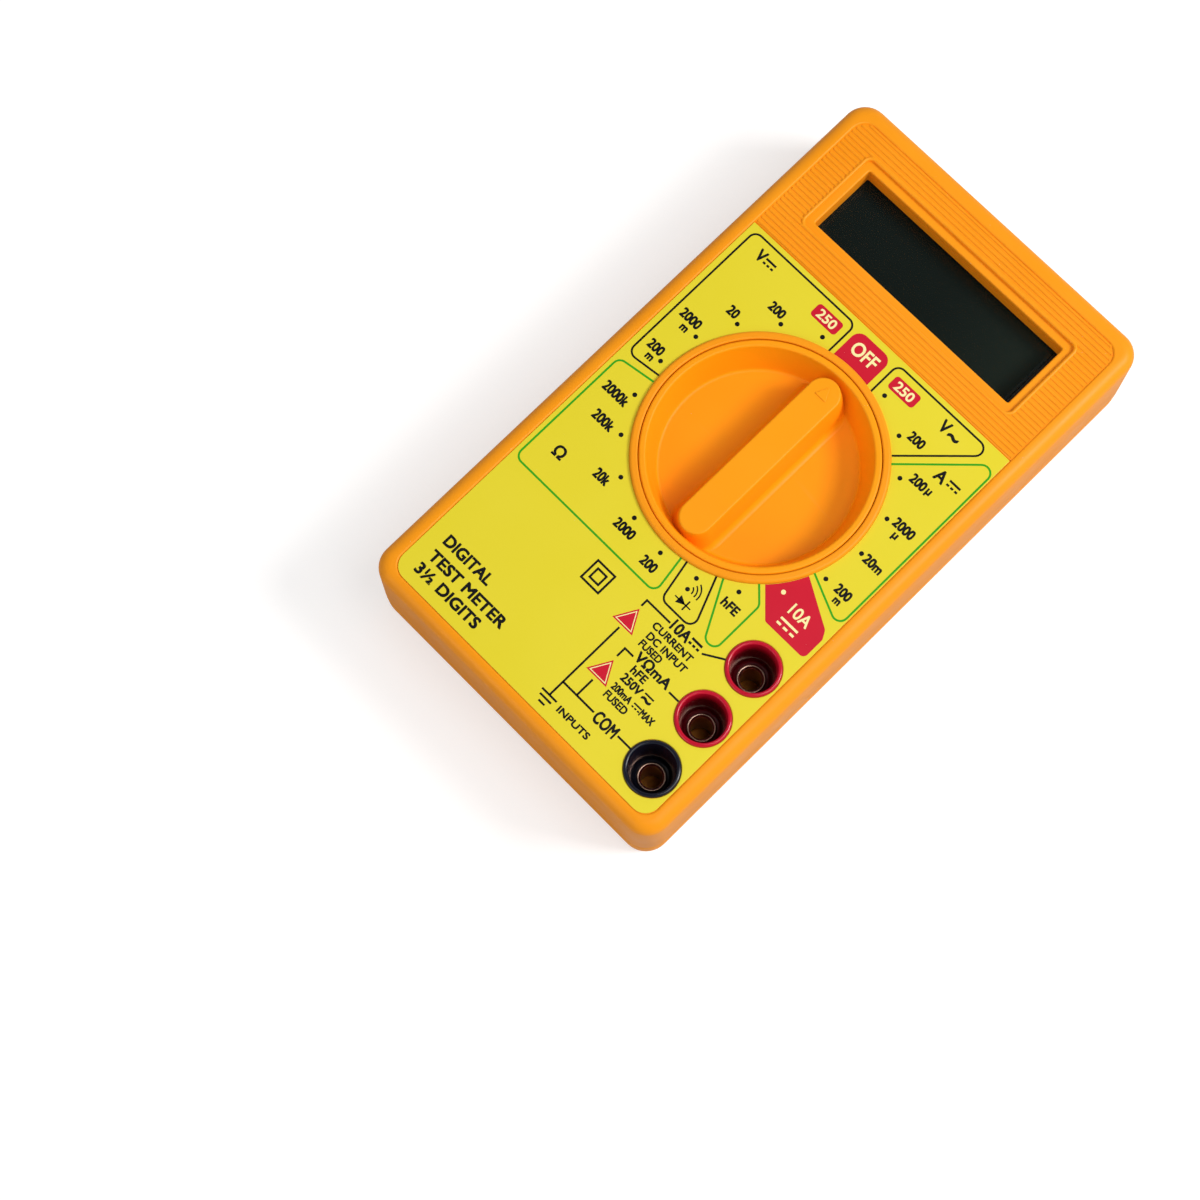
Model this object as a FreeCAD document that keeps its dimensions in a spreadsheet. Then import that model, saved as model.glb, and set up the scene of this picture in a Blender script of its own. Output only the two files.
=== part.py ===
import FreeCAD, Part
import math
import os
import re

import Sketcher

# A pocket digital multimeter lying on its back: +Z up, +Y towards the display, +X to the reader's right.
# The origin is the middle of the back face. The selector knob turns about the Z axis. Sizes are in mm.

DIMENSIONS = {
    # case
    "case_width": 70, "case_length": 126, "case_height": 24, "case_corner": 4.8, "case_draft": 1,
    "parting_height": 7.2, "face_underside": 21.5, "front_wall": 2, "face_edge_round": 2.2,
    "back_wall": 3.1, "back_floor": 2, "back_edge_round": 2.4, "lip_height": 1.2, "lip_gap": 0.1,
    "tab_width": 6, "tab_thick": 1.2, "tab_height": 10.4, "tab_x": 18, "tab_y": 60.1,
    # printed label and ribbed panel on the face
    "label_width": 63.2, "label_top": 30.7, "label_bottom": -60, "label_corner": 3, "label_floor": 23.7,
    "label_thick": 0.25, "panel_top": 59.2, "panel_depth": 0.15, "panel_corner": 3,
    "groove_pitch": 0.97, "groove_count": 28, "groove_width": 0.45, "groove_depth": 0.25, "groove_inset": 0.6,
    # display
    "window_width": 47.8, "window_length": 14.3, "window_y": 45.55, "window_corner": 0.4,
    "surround_width": 51.4, "surround_length": 18.1, "surround_depth": 0.8, "surround_corner": 1.2,
    "well_wall": 1.4, "lens_thick": 1, "lens_width": 52, "glass_top": 18.2, "glass_thick": 2,
    "glass_width": 50, "glass_length": 20, "glass_x": -2.1, "holder_width": 56, "holder_length": 23.6,
    "holder_x": -0.6, "zebra_width": 47, "zebra_thick": 2.4, "zebra_spread": 7.55,
    # selector
    "collar_radius": 23.1, "collar_top": 24.7, "knob_hole_radius": 21.7, "knob_radius": 21.45,
    "knob_rim_top": 24.6, "dish_radius": 20.2, "dish_floor": 17.4, "dish_taper": 16, "knob_base": 18.2,
    "dish_foot": 15.9, "dish_foot_radius": 20.4,
    "shoulder_radius": 22.6, "shoulder_top": 21.2, "flange_radius": 26, "flange_top": 19.6,
    "grip_width": 8.4, "grip_length": 40.1, "grip_top": 24.8, "grip_taper": 8,
    "pointer_width": 2.6, "pointer_length": 2.6, "pointer_y": 16.3, "pointer_top": 25,
    "hub_radius": 5, "hub_foot": 11.6, "spigot_radius": 3.2, "spigot_foot": 8.4, "running_gap": 0.05,
    "rotor_x": 11.5, "rotor_width": 12, "rotor_length": 9, "rotor_foot": 12.5,
    "wiper_width": 1.2, "wiper_length": 8, "wiper_thick": 0.3, "wiper_pitch": 3, "wiper_foot": 11.6,
    # detents
    "detent_count": 20, "detent_radius": 24.2, "ball_radius": 1.5, "ball_middle": 19.95,
    "dimple_radius": 1.1, "dimple_depth": 0.5, "pocket_gap": 0.05, "pocket_wall": 0.9,
    "pocket_floor": 14.2, "pocket_foot": 13.2, "pocket_mouth": 20.9, "spring_radius": 1.1,
    "spring_wire": 0.2, "spring_pitch": 0.9, "spring_length": 3.8,
    # sockets
    "socket_x": 26, "socket_first_y": -28, "socket_pitch": 12.4, "sleeve_radius": 5.05,
    "sleeve_top": 24.35, "sleeve_mouth": 4.35, "sleeve_taper": 4.5, "sleeve_floor": 14, "sleeve_gap": 0.1,
    "sleeve_collar": 3, "sleeve_collar_top": 14.5, "tube_outer": 2.6, "tube_bore": 2, "tube_top": 14.3,
    "tube_foot": 3, "tube_flange": 3.4, "tube_flange_thick": 0.6,
    # circuit board
    "board_width": 62, "board_top_y": 58.4, "board_step_y": -32.2, "board_end_y": -58.6,
    "board_strip_x": 20.3, "board_foot": 9.6, "board_thick": 1.6, "board_corner": 1,
    # fasteners and the posts they go into
    "case_screw_x": 17.4, "case_screw_y": -28.9, "case_post": 2.8, "case_boss": 3.4, "screw_shank": 1.4,
    "screw_clear": 1.55, "screw_head": 2.6, "screw_head_thick": 1.6, "counterbore": 2.9,
    "counterbore_depth": 4, "case_screw_tip": 17, "drive_width": 0.7, "drive_depth": 0.8,
    "post_radius": 2.5, "post_x": 29.4, "post_y": 30.2, "low_post_x": 28.8, "low_post_y": -18.4,
    "board_screw_shank": 1, "board_screw_clear": 1.15, "board_screw_head": 2.2,
    "board_screw_head_thick": 1.4, "board_screw_tip": 15.2,
    # battery
    "battery_length": 46, "battery_width": 26.5, "battery_height": 17.5, "battery_x": -3.9,
    "battery_y": -46.35, "battery_corner": 2, "terminal_radius": 2.9, "terminal_spread": 6.35,
    "terminal_height": 2.2, "snap_thick": 2.2, "snap_width": 26, "snap_height": 12, "snap_corner": 2,
    "cushion_width": 30, "cushion_length": 18, "cushion_corner": 1,
    "lead_radius": 0.65, "lead_start_y": -33.35, "red_lead_height": 15.4, "red_lead_bend": 2.5,
    "red_lead_end_y": -22, "black_lead_height": 13, "black_lead_bend": 1.5, "black_lead_end_y": -26.5,
    # parts on the back of the board
    "fuse_x": -5, "fuse_y": -21, "fuse_height": 6, "fuse_length": 20, "fuse_radius": 2.35,
    "fuse_wall": 0.4, "fuse_wire_radius": 0.15, "cap_radius": 2.6, "cap_length": 5, "clip_width": 4,
    "clip_span": 6.4, "clip_foot": 4.2,
    "shunt_x": 29.7, "shunt_radius": 0.75, "shunt_low": 5, "shunt_start_y": -33, "shunt_end_y": -48,
    "shunt_bend": 2,
    "blob_y": 30, "blob_radius": 9, "blob_height": 2.2, "blob_round": 1.2,
    "trimmer_x": -15, "trimmer_y": 12, "trimmer_size": 7, "trimmer_foot": 6.1, "trimmer_seat": 8.1,
    "rotor_radius": 2.4, "rotor_low": 5.8, "rotor_high": 8.05, "rotor_slot": 0.6, "rotor_slot_depth": 0.7,
    "electrolytic_x": 18, "electrolytic_y": 8, "electrolytic_radius": 2.5, "electrolytic_foot": 3.4,
    "film_x": 24, "film_y": 6, "film_pitch": 8, "film_width": 2.6, "film_length": 7, "film_height": 5.6,
    "film_corner": 0.6, "resistor_x": -26, "resistor_pitch": 4.2, "resistor_y": -6,
    "resistor_radius": 1.1, "resistor_length": 6.2, "resistor_height": 8.3, "wire_radius": 0.3,
    "wire_reach": 2, "transistor_x": 12, "transistor_y": 46, "transistor_radius": 2.3,
    "transistor_foot": 5, "transistor_pitch": 8, "transistor_flat": 1.3,
    "buzzer_x": -20, "buzzer_y": 42, "buzzer_radius": 7, "buzzer_height": 4.5, "buzzer_port": 1,
}
RESISTORS = 6
FILM_CAPACITORS = 3
TRANSISTORS = 2
WIPERS = 3
HALF_TURN = 180
SQUARE_TURN = 90

doc = FreeCAD.newDocument("multimeter")
sheet = doc.addObject("Spreadsheet::Sheet", "dims")
for row, (alias, size) in enumerate(DIMENSIONS.items(), start=1):
    sheet.set(f"A{row}", alias)
    sheet.set(f"B{row}", str(size))
    sheet.setAlias(f"B{row}", alias)
doc.recompute()

sub_parts = []


# ---- expressions -------------------------------------------------------------------------------

def in_sheet(formula):
    """Writes a formula of sheet names, such as "case_width / 2", as other objects have to refer to it."""
    return re.sub(r"[a-z][a-z_]+", lambda word: "dims." + word.group(0), str(formula))


def bind(thing, prop, formula):
    """Ties a property to a formula of the sheet's dimensions."""
    thing.setExpression(prop, in_sheet(formula))


def value(formula):
    """A formula's present value as a number."""
    return float(sheet.evalExpression(str(formula)))


# ---- sketches ----------------------------------------------------------------------------------

def new_body(label):
    """An empty PartDesign body that becomes one sub-part."""
    body = doc.addObject("PartDesign::Body", label)
    body.Label = label
    sub_parts.append(body)
    return body


def new_sketch(body, x, y, z, role="XY_Plane"):
    """A sketch on one of the body's own origin planes, moved to x, y, z in that plane's directions."""
    sketch = body.newObject("Sketcher::SketchObject", "outline")
    origin_plane = next(part for part in body.Origin.OriginFeatures if part.Role == role)
    sketch.AttachmentSupport = [(origin_plane, "")]
    sketch.MapMode = "FlatFace"
    for axis, formula in zip("xyz", (x, y, z)):
        bind(sketch, f".AttachmentOffset.Base.{axis}", formula)
    return sketch


def point(x, y):
    return FreeCAD.Vector(x, y, 0)


def constrain(sketch, formula, *constraint):
    """Adds a dimension to a sketch and ties it to the sheet."""
    name = f"size_{len(sketch.Constraints)}"
    index = sketch.addConstraint(Sketcher.Constraint(*constraint, value(formula)))
    sketch.renameConstraint(index, name)
    bind(sketch, f"Constraints.{name}", formula)


def draw_circle(sketch, radius):
    """A circle about the sketch's own origin."""
    circle = sketch.addGeometry(Part.Circle(point(0, 0), FreeCAD.Vector(0, 0, 1), value(radius)))
    sketch.addConstraint(Sketcher.Constraint("Coincident", circle, 3, -1, 1))
    constrain(sketch, radius, "Radius", circle)


def draw_rectangle(sketch, width, length):
    """A sharp-cornered rectangle centred on the sketch's origin."""
    x, y = value(width) / 2, value(length) / 2
    corners = [point(-x, -y), point(x, -y), point(x, y), point(-x, y)]
    sides = [
        sketch.addGeometry(Part.LineSegment(start, end))
        for start, end in zip(corners, corners[1:] + corners[:1])
    ]
    for side, following in zip(sides, sides[1:] + sides[:1]):
        sketch.addConstraint(Sketcher.Constraint("Coincident", side, 2, following, 1))
    for side, direction in zip(sides, ("Horizontal", "Vertical") * 2):
        sketch.addConstraint(Sketcher.Constraint(direction, side))
    sketch.addConstraint(Sketcher.Constraint("Symmetric", sides[0], 1, sides[2], 1, -1, 1))
    constrain(sketch, width, "DistanceX", sides[0], 1, sides[0], 2)
    constrain(sketch, length, "DistanceY", sides[1], 1, sides[1], 2)


def draw_triangle(sketch, width, length):
    """A triangle about the sketch's own origin, pointing along its second direction."""
    x, y = value(width) / 2, value(length) / 2
    corners = [point(-x, -y), point(x, -y), point(0, y)]
    sides = [
        sketch.addGeometry(Part.LineSegment(start, end))
        for start, end in zip(corners, corners[1:] + corners[:1])
    ]
    for side, following in zip(sides, sides[1:] + sides[:1]):
        sketch.addConstraint(Sketcher.Constraint("Coincident", side, 2, following, 1))
    sketch.addConstraint(Sketcher.Constraint("Symmetric", sides[0], 1, sides[0], 2, -2))
    sketch.addConstraint(Sketcher.Constraint("PointOnObject", sides[1], 2, -2))
    constrain(sketch, width, "DistanceX", sides[0], 1, sides[0], 2)
    constrain(sketch, length, "DistanceY", sides[0], 1, sides[1], 2)
    constrain(sketch, f"{length} / 2", "DistanceY", sides[0], 1, -1, 1)


def draw_rounded_rectangle(sketch, width, length, radius):
    """A rectangle with four equal round corners, centred on the sketch's origin."""
    x, y, r = value(width) / 2, value(length) / 2, value(radius)
    starts = [point(r - x, -y), point(x, r - y), point(x - r, y), point(-x, y - r)]
    ends = [point(x - r, -y), point(x, y - r), point(r - x, y), point(-x, r - y)]
    middles = [point(x - r, r - y), point(x - r, y - r), point(r - x, y - r), point(r - x, r - y)]
    sides = [sketch.addGeometry(Part.LineSegment(start, end)) for start, end in zip(starts, ends)]
    corners = []
    for number, middle in enumerate(middles):
        begin = (number - 1) * HALF_TURN / 2
        circle = Part.Circle(middle, FreeCAD.Vector(0, 0, 1), r)
        arc = Part.ArcOfCircle(circle, math.radians(begin), math.radians(begin + SQUARE_TURN))
        corners.append(sketch.addGeometry(arc))
    for number, corner in enumerate(corners):
        sketch.addConstraint(Sketcher.Constraint("Tangent", sides[number], 2, corner, 1))
        sketch.addConstraint(Sketcher.Constraint("Tangent", corner, 2, sides[(number + 1) % 4], 1))
    for side, direction in zip(sides, ("Horizontal", "Vertical") * 2):
        sketch.addConstraint(Sketcher.Constraint(direction, side))
    for corner in corners[1:]:
        sketch.addConstraint(Sketcher.Constraint("Equal", corners[0], corner))
    sketch.addConstraint(Sketcher.Constraint("Symmetric", corners[0], 3, corners[2], 3, -1, 1))
    constrain(sketch, radius, "Radius", corners[0])
    constrain(sketch, width, "DistanceX", sides[3], 1, sides[1], 1)
    constrain(sketch, length, "DistanceY", sides[0], 1, sides[2], 1)


def draw_path(sketch, points, bend):
    """Straight runs joined by tangent arcs of one radius; points are (first, second) formula pairs."""
    spots = [point(value(first), value(second)) for first, second in points]
    start = spots[0]
    for before, corner, after in zip(spots, spots[1:], spots[2:]):
        inwards = (before - corner).normalize()
        outwards = (after - corner).normalize()
        reach = value(bend)
        first, last = corner + inwards * reach, corner + outwards * reach
        turning = corner + (inwards + outwards) * reach
        middle = turning + (corner - turning).normalize() * reach
        sketch.addGeometry(Part.LineSegment(start, first))
        sketch.addGeometry(Part.Arc(first, middle, last))
        start = last
    sketch.addGeometry(Part.LineSegment(start, spots[-1]))


# ---- features ----------------------------------------------------------------------------------

def extrude(body, sketch, height, cut=False, taper=0):
    """Adds, or cuts away, the sketch's outline from its plane upwards."""
    feature = body.newObject("PartDesign::Pocket" if cut else "PartDesign::Pad", "feature")
    feature.Profile = sketch
    feature.Reversed = cut
    bind(feature, "Length", height)
    if taper:
        bind(feature, "TaperAngle", taper)
    sketch.Visibility = False
    doc.recompute()
    return feature


def disc(body, x, y, low, high, radius, cut=False, taper=0):
    """A round pad or pocket from one height to another, drawn at its low end."""
    sketch = new_sketch(body, x, y, low)
    draw_circle(sketch, radius)
    return extrude(body, sketch, f"{high} - ({low})", cut, taper)


def block(body, x, y, low, high, width, length, cut=False, taper=0):
    """A sharp-cornered pad or pocket from one height to another."""
    sketch = new_sketch(body, x, y, low)
    draw_rectangle(sketch, width, length)
    return extrude(body, sketch, f"{high} - ({low})", cut, taper)


def slab(body, x, y, low, high, width, length, corner, cut=False, taper=0):
    """A round-cornered pad or pocket from one height to another."""
    sketch = new_sketch(body, x, y, low)
    draw_rounded_rectangle(sketch, width, length, corner)
    return extrude(body, sketch, f"{high} - ({low})", cut, taper)


def dish(body, x, y, top, floor, radius, taper):
    """A round pocket cut downwards from its mouth, narrowing to its floor."""
    sketch = new_sketch(body, x, y, top)
    draw_circle(sketch, radius)
    feature = extrude(body, sketch, f"{top} - ({floor})", cut=True)
    feature.Reversed = False
    bind(feature, "TaperAngle", f"-1 * {taper}")
    doc.recompute()
    return feature


def round_edges(body, base, radius, wanted):
    """Fillets those edges of a feature for which wanted(edge) is true."""
    names = [f"Edge{n}" for n, edge in enumerate(base.Shape.Edges, start=1) if wanted(edge)]
    fillet = body.newObject("PartDesign::Fillet", "rounding")
    fillet.Base = (base, names)
    bind(fillet, "Radius", radius)
    doc.recompute()
    return fillet


def level_with(height):
    """Picks the edges that lie wholly at one height."""
    level = value(height)
    return lambda edge: abs(edge.BoundBox.ZMin - level) < 1e-4 and abs(edge.BoundBox.ZMax - level) < 1e-4


def repeat(body, feature, kind, axis, **settings):
    """Repeats a pocket along or about one of the body's origin axes."""
    pattern = body.newObject(kind, "pattern")
    pattern.Originals = [feature]
    direction = next(part for part in body.Origin.OriginFeatures if part.Role == axis)
    setattr(pattern, "Axis" if kind.endswith("PolarPattern") else "Direction", (direction, [""]))
    for prop, formula in settings.items():
        bind(pattern, prop, formula)
    body.Tip = pattern
    doc.recompute()
    return pattern


def socket_y(number):
    """Where a socket stands, counted from the one nearest the display."""
    return f"socket_first_y - {number} * socket_pitch"


# ---- case --------------------------------------------------------------------------------------

def cut_label_recess(body, low, high):
    """The recess that the printed label lies in: square at the display end, round at the other."""
    middle = "(label_top + label_bottom) / 2"
    slab(body, 0, middle, low, high, "label_width", "label_top - label_bottom", "label_corner", cut=True)
    block(body, 0, "label_top / 2", low, high, "label_width", "label_top", cut=True)


def add_front_posts(body):
    """Posts down to the board: two take the case screws, three the board screws."""
    board_top = "board_foot + board_thick"
    for side in (-1, 1):
        spot = (f"{side} * case_screw_x", "case_screw_y")
        disc(body, *spot, board_top, "face_underside", "case_post")
        disc(body, *spot, board_top, "case_screw_tip + 0.5", "screw_shank", cut=True)
    for spot in board_screw_spots():
        disc(body, *spot, board_top, "face_underside", "post_radius")
        disc(body, *spot, board_top, "board_screw_tip + 0.5", "board_screw_shank", cut=True)


def board_screw_spots():
    return [("-post_x", "post_y"), ("post_x", "post_y"), ("low_post_x", "low_post_y")]


def make_front_shell():
    """The moulded front: face plate, side walls, display well, collar, posts and detent dimples."""
    body = new_body("front_shell")
    outer = slab(body, 0, 0, "parting_height", "case_height", "case_width", "case_length", "case_corner",
                 taper="-1 * case_draft")
    round_edges(body, outer, "face_edge_round", level_with("case_height"))
    slab(body, 0, 0, "parting_height", "face_underside", "case_width - 2 * front_wall",
         "case_length - 2 * front_wall", "case_corner - front_wall", cut=True)
    lens_top = "glass_top + lens_thick"
    slab(body, 0, "window_y", lens_top, "face_underside", "window_width + 2 * well_wall",
         "window_length + 2 * well_wall", "surround_corner")
    add_front_posts(body)
    cut_label_recess(body, "label_floor", "case_height")
    cut_ribbed_panel(body)
    disc(body, 0, 0, "face_underside", "collar_top", "collar_radius")
    disc(body, 0, 0, "face_underside", "collar_top", "knob_hole_radius", cut=True)
    slab(body, 0, "window_y", "case_height - surround_depth", "case_height", "surround_width",
         "surround_length", "surround_corner", cut=True)
    slab(body, 0, "window_y", lens_top, "case_height", "window_width", "window_length", "window_corner",
         cut=True)
    for number in range(3):
        disc(body, "socket_x", socket_y(number), "face_underside", "case_height", "sleeve_radius", cut=True)
    dimple = disc(body, "detent_radius", 0, "face_underside", "face_underside + dimple_depth",
                  "dimple_radius", cut=True)
    repeat(body, dimple, "PartDesign::PolarPattern", "Z_Axis", Angle=360, Occurrences="detent_count")


def cut_ribbed_panel(body):
    """A shallow round-cornered panel about the display, lined across with fine grooves."""
    slab(body, 0, "(panel_top + label_top) / 2", "case_height - panel_depth", "case_height", "label_width",
         "panel_top - label_top", "panel_corner", cut=True)
    floor = "case_height - panel_depth - groove_depth"
    groove = slab(body, 0, "panel_top - groove_pitch", floor, "case_height - panel_depth",
                  "label_width - 2 * groove_inset", "groove_width", "groove_width / 2.2", cut=True)
    pattern = repeat(body, groove, "PartDesign::LinearPattern", "Y_Axis",
                     Length="groove_pitch * (groove_count - 1)", Occurrences="groove_count")
    pattern.Reversed = True
    doc.recompute()


def make_back_shell():
    """The shallow back tray: floor, walls, locating lip, two screw bosses and two hooking tabs."""
    body = new_body("back_shell")
    sketch = new_sketch(body, 0, 0, "parting_height")
    draw_rounded_rectangle(sketch, "case_width", "case_length", "case_corner")
    outer = extrude(body, sketch, "parting_height", taper="-1 * case_draft")
    outer.Reversed = True
    doc.recompute()
    round_edges(body, outer, "back_edge_round", level_with(0))
    slab(body, 0, 0, "back_floor", "parting_height + lip_height",
         "case_width - 2 * front_wall - 2 * lip_gap", "case_length - 2 * front_wall - 2 * lip_gap",
         "case_corner - front_wall")
    slab(body, 0, 0, "back_floor", "parting_height + lip_height", "case_width - 2 * back_wall",
         "case_length - 2 * back_wall", "case_corner - back_wall", cut=True)
    for side in (-1, 1):
        spot = (f"{side} * case_screw_x", "case_screw_y")
        disc(body, *spot, "back_floor", "board_foot", "case_boss")
        disc(body, *spot, 0, "counterbore_depth", "counterbore", cut=True)
        disc(body, *spot, 0, "board_foot", "screw_clear", cut=True)
        block(body, f"{side} * tab_x", "tab_y", "parting_height", "tab_height", "tab_width", "tab_thick")


def add_cross_slot(body, spot, low):
    """The crossed slots in a screw's head, cut upwards from its outer face."""
    high = f"{low} + drive_depth"
    block(body, *spot, low, high, "drive_width", "3 * drive_width", cut=True)
    block(body, *spot, low, high, "3 * drive_width", "drive_width", cut=True)


def make_case_screws():
    """Two self-tapping screws that come up through the back and pull the shells together."""
    body = new_body("case_screws")
    head_foot = "counterbore_depth - screw_head_thick"
    for side in (-1, 1):
        spot = (f"{side} * case_screw_x", "case_screw_y")
        disc(body, *spot, head_foot, "counterbore_depth", "screw_head")
        disc(body, *spot, "counterbore_depth", "case_screw_tip", "screw_shank")
        add_cross_slot(body, spot, head_foot)


def make_board_screws():
    """Three small screws that hold the board on the front shell's posts."""
    body = new_body("board_screws")
    head_foot = "board_foot - board_screw_head_thick"
    for spot in board_screw_spots():
        disc(body, *spot, head_foot, "board_foot", "board_screw_head")
        disc(body, *spot, "board_foot", "board_screw_tip", "board_screw_shank")
        add_cross_slot(body, spot, head_foot)


def make_label():
    """The printed foil on the face, open round the knob's collar and the three sockets."""
    body = new_body("faceplate_label")
    top = "label_floor + label_thick"
    size = ("label_width", "label_top - label_bottom", "label_corner")
    slab(body, 0, "(label_top + label_bottom) / 2", "label_floor", top, *size)
    block(body, 0, "label_top / 2", "label_floor", top, "label_width", "label_top")
    disc(body, 0, 0, "label_floor", top, "collar_radius", cut=True)
    for number in range(3):
        disc(body, "socket_x", socket_y(number), "label_floor", top, "sleeve_radius + sleeve_gap", cut=True)


# ---- display -----------------------------------------------------------------------------------

def make_display():
    """The clear lens, the liquid crystal glass, its holder and the two rubber contact strips."""
    lens = new_body("display_window")
    slab(lens, 0, "window_y", "glass_top", "glass_top + lens_thick", "lens_width", "glass_length",
         "window_corner")
    glass_foot = "glass_top - glass_thick"
    glass = new_body("lcd_panel")
    slab(glass, "glass_x", "window_y", glass_foot, "glass_top", "glass_width", "glass_length",
         "window_corner")
    board_top = "board_foot + board_thick"
    holder = new_body("lcd_holder")
    slab(holder, "holder_x", "window_y", board_top, "glass_top + lens_thick", "holder_width",
         "holder_length", "window_corner")
    slab(holder, 0, "window_y", "glass_top", "glass_top + lens_thick", "lens_width", "glass_length",
         "window_corner", cut=True)
    slab(holder, "glass_x", "window_y", glass_foot, "glass_top", "glass_width", "glass_length",
         "window_corner", cut=True)
    slab(holder, "glass_x", "window_y", board_top, glass_foot, "zebra_width",
         "2 * zebra_spread + zebra_thick", "window_corner", cut=True)
    for label, side in (("contact_strip_upper", 1), ("contact_strip_lower", -1)):
        strip = new_body(label)
        block(strip, "glass_x", f"window_y + {side} * zebra_spread", board_top, glass_foot,
              "zebra_width - 2 * window_corner", "zebra_thick")


# ---- selector ----------------------------------------------------------------------------------

def make_knob():
    """The dished selector: grip bar with its pointer, thrust shoulder, spring pockets, hub, spigot."""
    body = new_body("selector_knob")
    disc(body, 0, 0, "knob_base", "knob_rim_top", "knob_radius")
    disc(body, 0, 0, "knob_base", "shoulder_top", "shoulder_radius")
    disc(body, 0, 0, "knob_base", "flange_top", "flange_radius")
    disc(body, 0, 0, "dish_foot", "knob_base", "dish_foot_radius")
    for side in (-1, 1):
        disc(body, f"{side} * detent_radius", 0, "pocket_foot", "pocket_mouth",
             "ball_radius + pocket_gap + pocket_wall")
    dish(body, 0, 0, "knob_rim_top", "dish_floor", "dish_radius", "dish_taper")
    slab(body, 0, 0, "dish_floor", "grip_top", "grip_width", "grip_length", "grip_width / 2.02",
         taper="-1 * grip_taper")
    pointer = new_sketch(body, 0, "pointer_y", "grip_top")
    draw_triangle(pointer, "pointer_width", "pointer_length")
    extrude(body, pointer, "pointer_top - grip_top")
    disc(body, 0, 0, "hub_foot", "knob_base", "hub_radius")
    disc(body, 0, 0, "spigot_foot", "hub_foot", "spigot_radius")
    block(body, "-rotor_x", 0, "rotor_foot", "knob_base", "rotor_width", "rotor_length")
    for side in (-1, 1):
        disc(body, f"{side} * detent_radius", 0, "pocket_floor", "pocket_mouth",
             "ball_radius + pocket_gap", cut=True)


def make_wipers():
    """Three sprung bridging contacts under the knob, which sweep the board's rings."""
    body = new_body("wiper_contacts")
    for number in range(WIPERS):
        x = f"-rotor_x + {number - (WIPERS - 1) / 2} * wiper_pitch"
        block(body, x, 0, "rotor_foot - wiper_thick", "rotor_foot", "wiper_width", "wiper_length")
        for side in (-1, 1):
            y = f"{side} * (wiper_length / 2 - wiper_width / 2)"
            block(body, x, y, "wiper_foot", "rotor_foot - wiper_thick", "wiper_width", "wiper_width")


def make_detents():
    """Two steel balls on springs, which click past the dimples under the face plate."""
    for name, side in (("right", 1), ("left", -1)):
        ball = doc.addObject("Part::Sphere", f"detent_ball_{name}")
        ball.Label = f"detent_ball_{name}"
        bind(ball, "Radius", "ball_radius")
        bind(ball, ".Placement.Base.x", f"{side} * detent_radius")
        bind(ball, ".Placement.Base.z", "ball_middle")
        sub_parts.append(ball)
        make_spring(f"detent_spring_{name}", side)


def make_spring(label, side):
    """A coil of round wire standing in its pocket under the ball."""
    body = new_body(label)
    profile = new_sketch(body, "spring_radius", "pocket_floor + spring_wire", 0, role="XZ_Plane")
    draw_circle(profile, "spring_wire")
    coil = body.newObject("PartDesign::AdditiveHelix", "coil")
    coil.Profile = profile
    axis = next(part for part in body.Origin.OriginFeatures if part.Role == "Z_Axis")
    coil.ReferenceAxis = (axis, [""])
    coil.Mode = 0
    bind(coil, "Pitch", "spring_pitch")
    bind(coil, "Height", "spring_length")
    bind(body, ".Placement.Base.x", f"{side} * detent_radius")
    profile.Visibility = False
    doc.recompute()


# ---- sockets -----------------------------------------------------------------------------------

def make_socket(name, number):
    """One banana socket: a moulded insulating sleeve round a plated brass tube."""
    x, y = "socket_x", socket_y(number)
    board_top = "board_foot + board_thick"
    sleeve = new_body(f"socket_sleeve_{name}")
    disc(sleeve, x, y, board_top, "sleeve_top", "sleeve_radius")
    dish(sleeve, x, y, "sleeve_top", "sleeve_floor", "sleeve_mouth", "sleeve_taper")
    disc(sleeve, x, y, "sleeve_floor", "sleeve_collar_top", "sleeve_collar")
    disc(sleeve, x, y, board_top, "sleeve_collar_top", "tube_outer", cut=True)
    tube = new_body(f"socket_tube_{name}")
    disc(tube, x, y, "tube_foot", "tube_top", "tube_outer")
    disc(tube, x, y, "board_foot - tube_flange_thick", "board_foot", "tube_flange")
    disc(tube, x, y, "tube_foot", "tube_top", "tube_bore", cut=True)


# ---- circuit board and what is on it -----------------------------------------------------------

def make_board():
    """The circuit board: a broad part under the knob and display, and a strip beside the battery."""
    body = new_body("main_board")
    low, high = "board_foot", "board_foot + board_thick"
    slab(body, 0, "(board_top_y + board_step_y) / 2", low, high, "board_width",
         "board_top_y - board_step_y", "board_corner")
    slab(body, "(board_width / 2 + board_strip_x) / 2", "(board_step_y + board_end_y) / 2", low, high,
         "board_width / 2 - board_strip_x", "board_step_y - board_end_y + 4 * board_corner",
         "board_corner")
    disc(body, 0, 0, low, high, "spigot_radius + running_gap", cut=True)
    for number in range(3):
        disc(body, "socket_x", socket_y(number), low, high, "tube_outer", cut=True)
    for side in (-1, 1):
        disc(body, f"{side} * case_screw_x", "case_screw_y", low, high, "screw_clear", cut=True)
    for spot in board_screw_spots():
        disc(body, *spot, low, high, "board_screw_clear", cut=True)


def make_chip():
    """The measuring chip under its round cap of black resin."""
    body = new_body("chip_cap")
    cap = disc(body, 0, "blob_y", "board_foot - blob_height", "board_foot", "blob_radius")
    round_edges(body, cap, "blob_round", level_with("board_foot - blob_height"))


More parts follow.
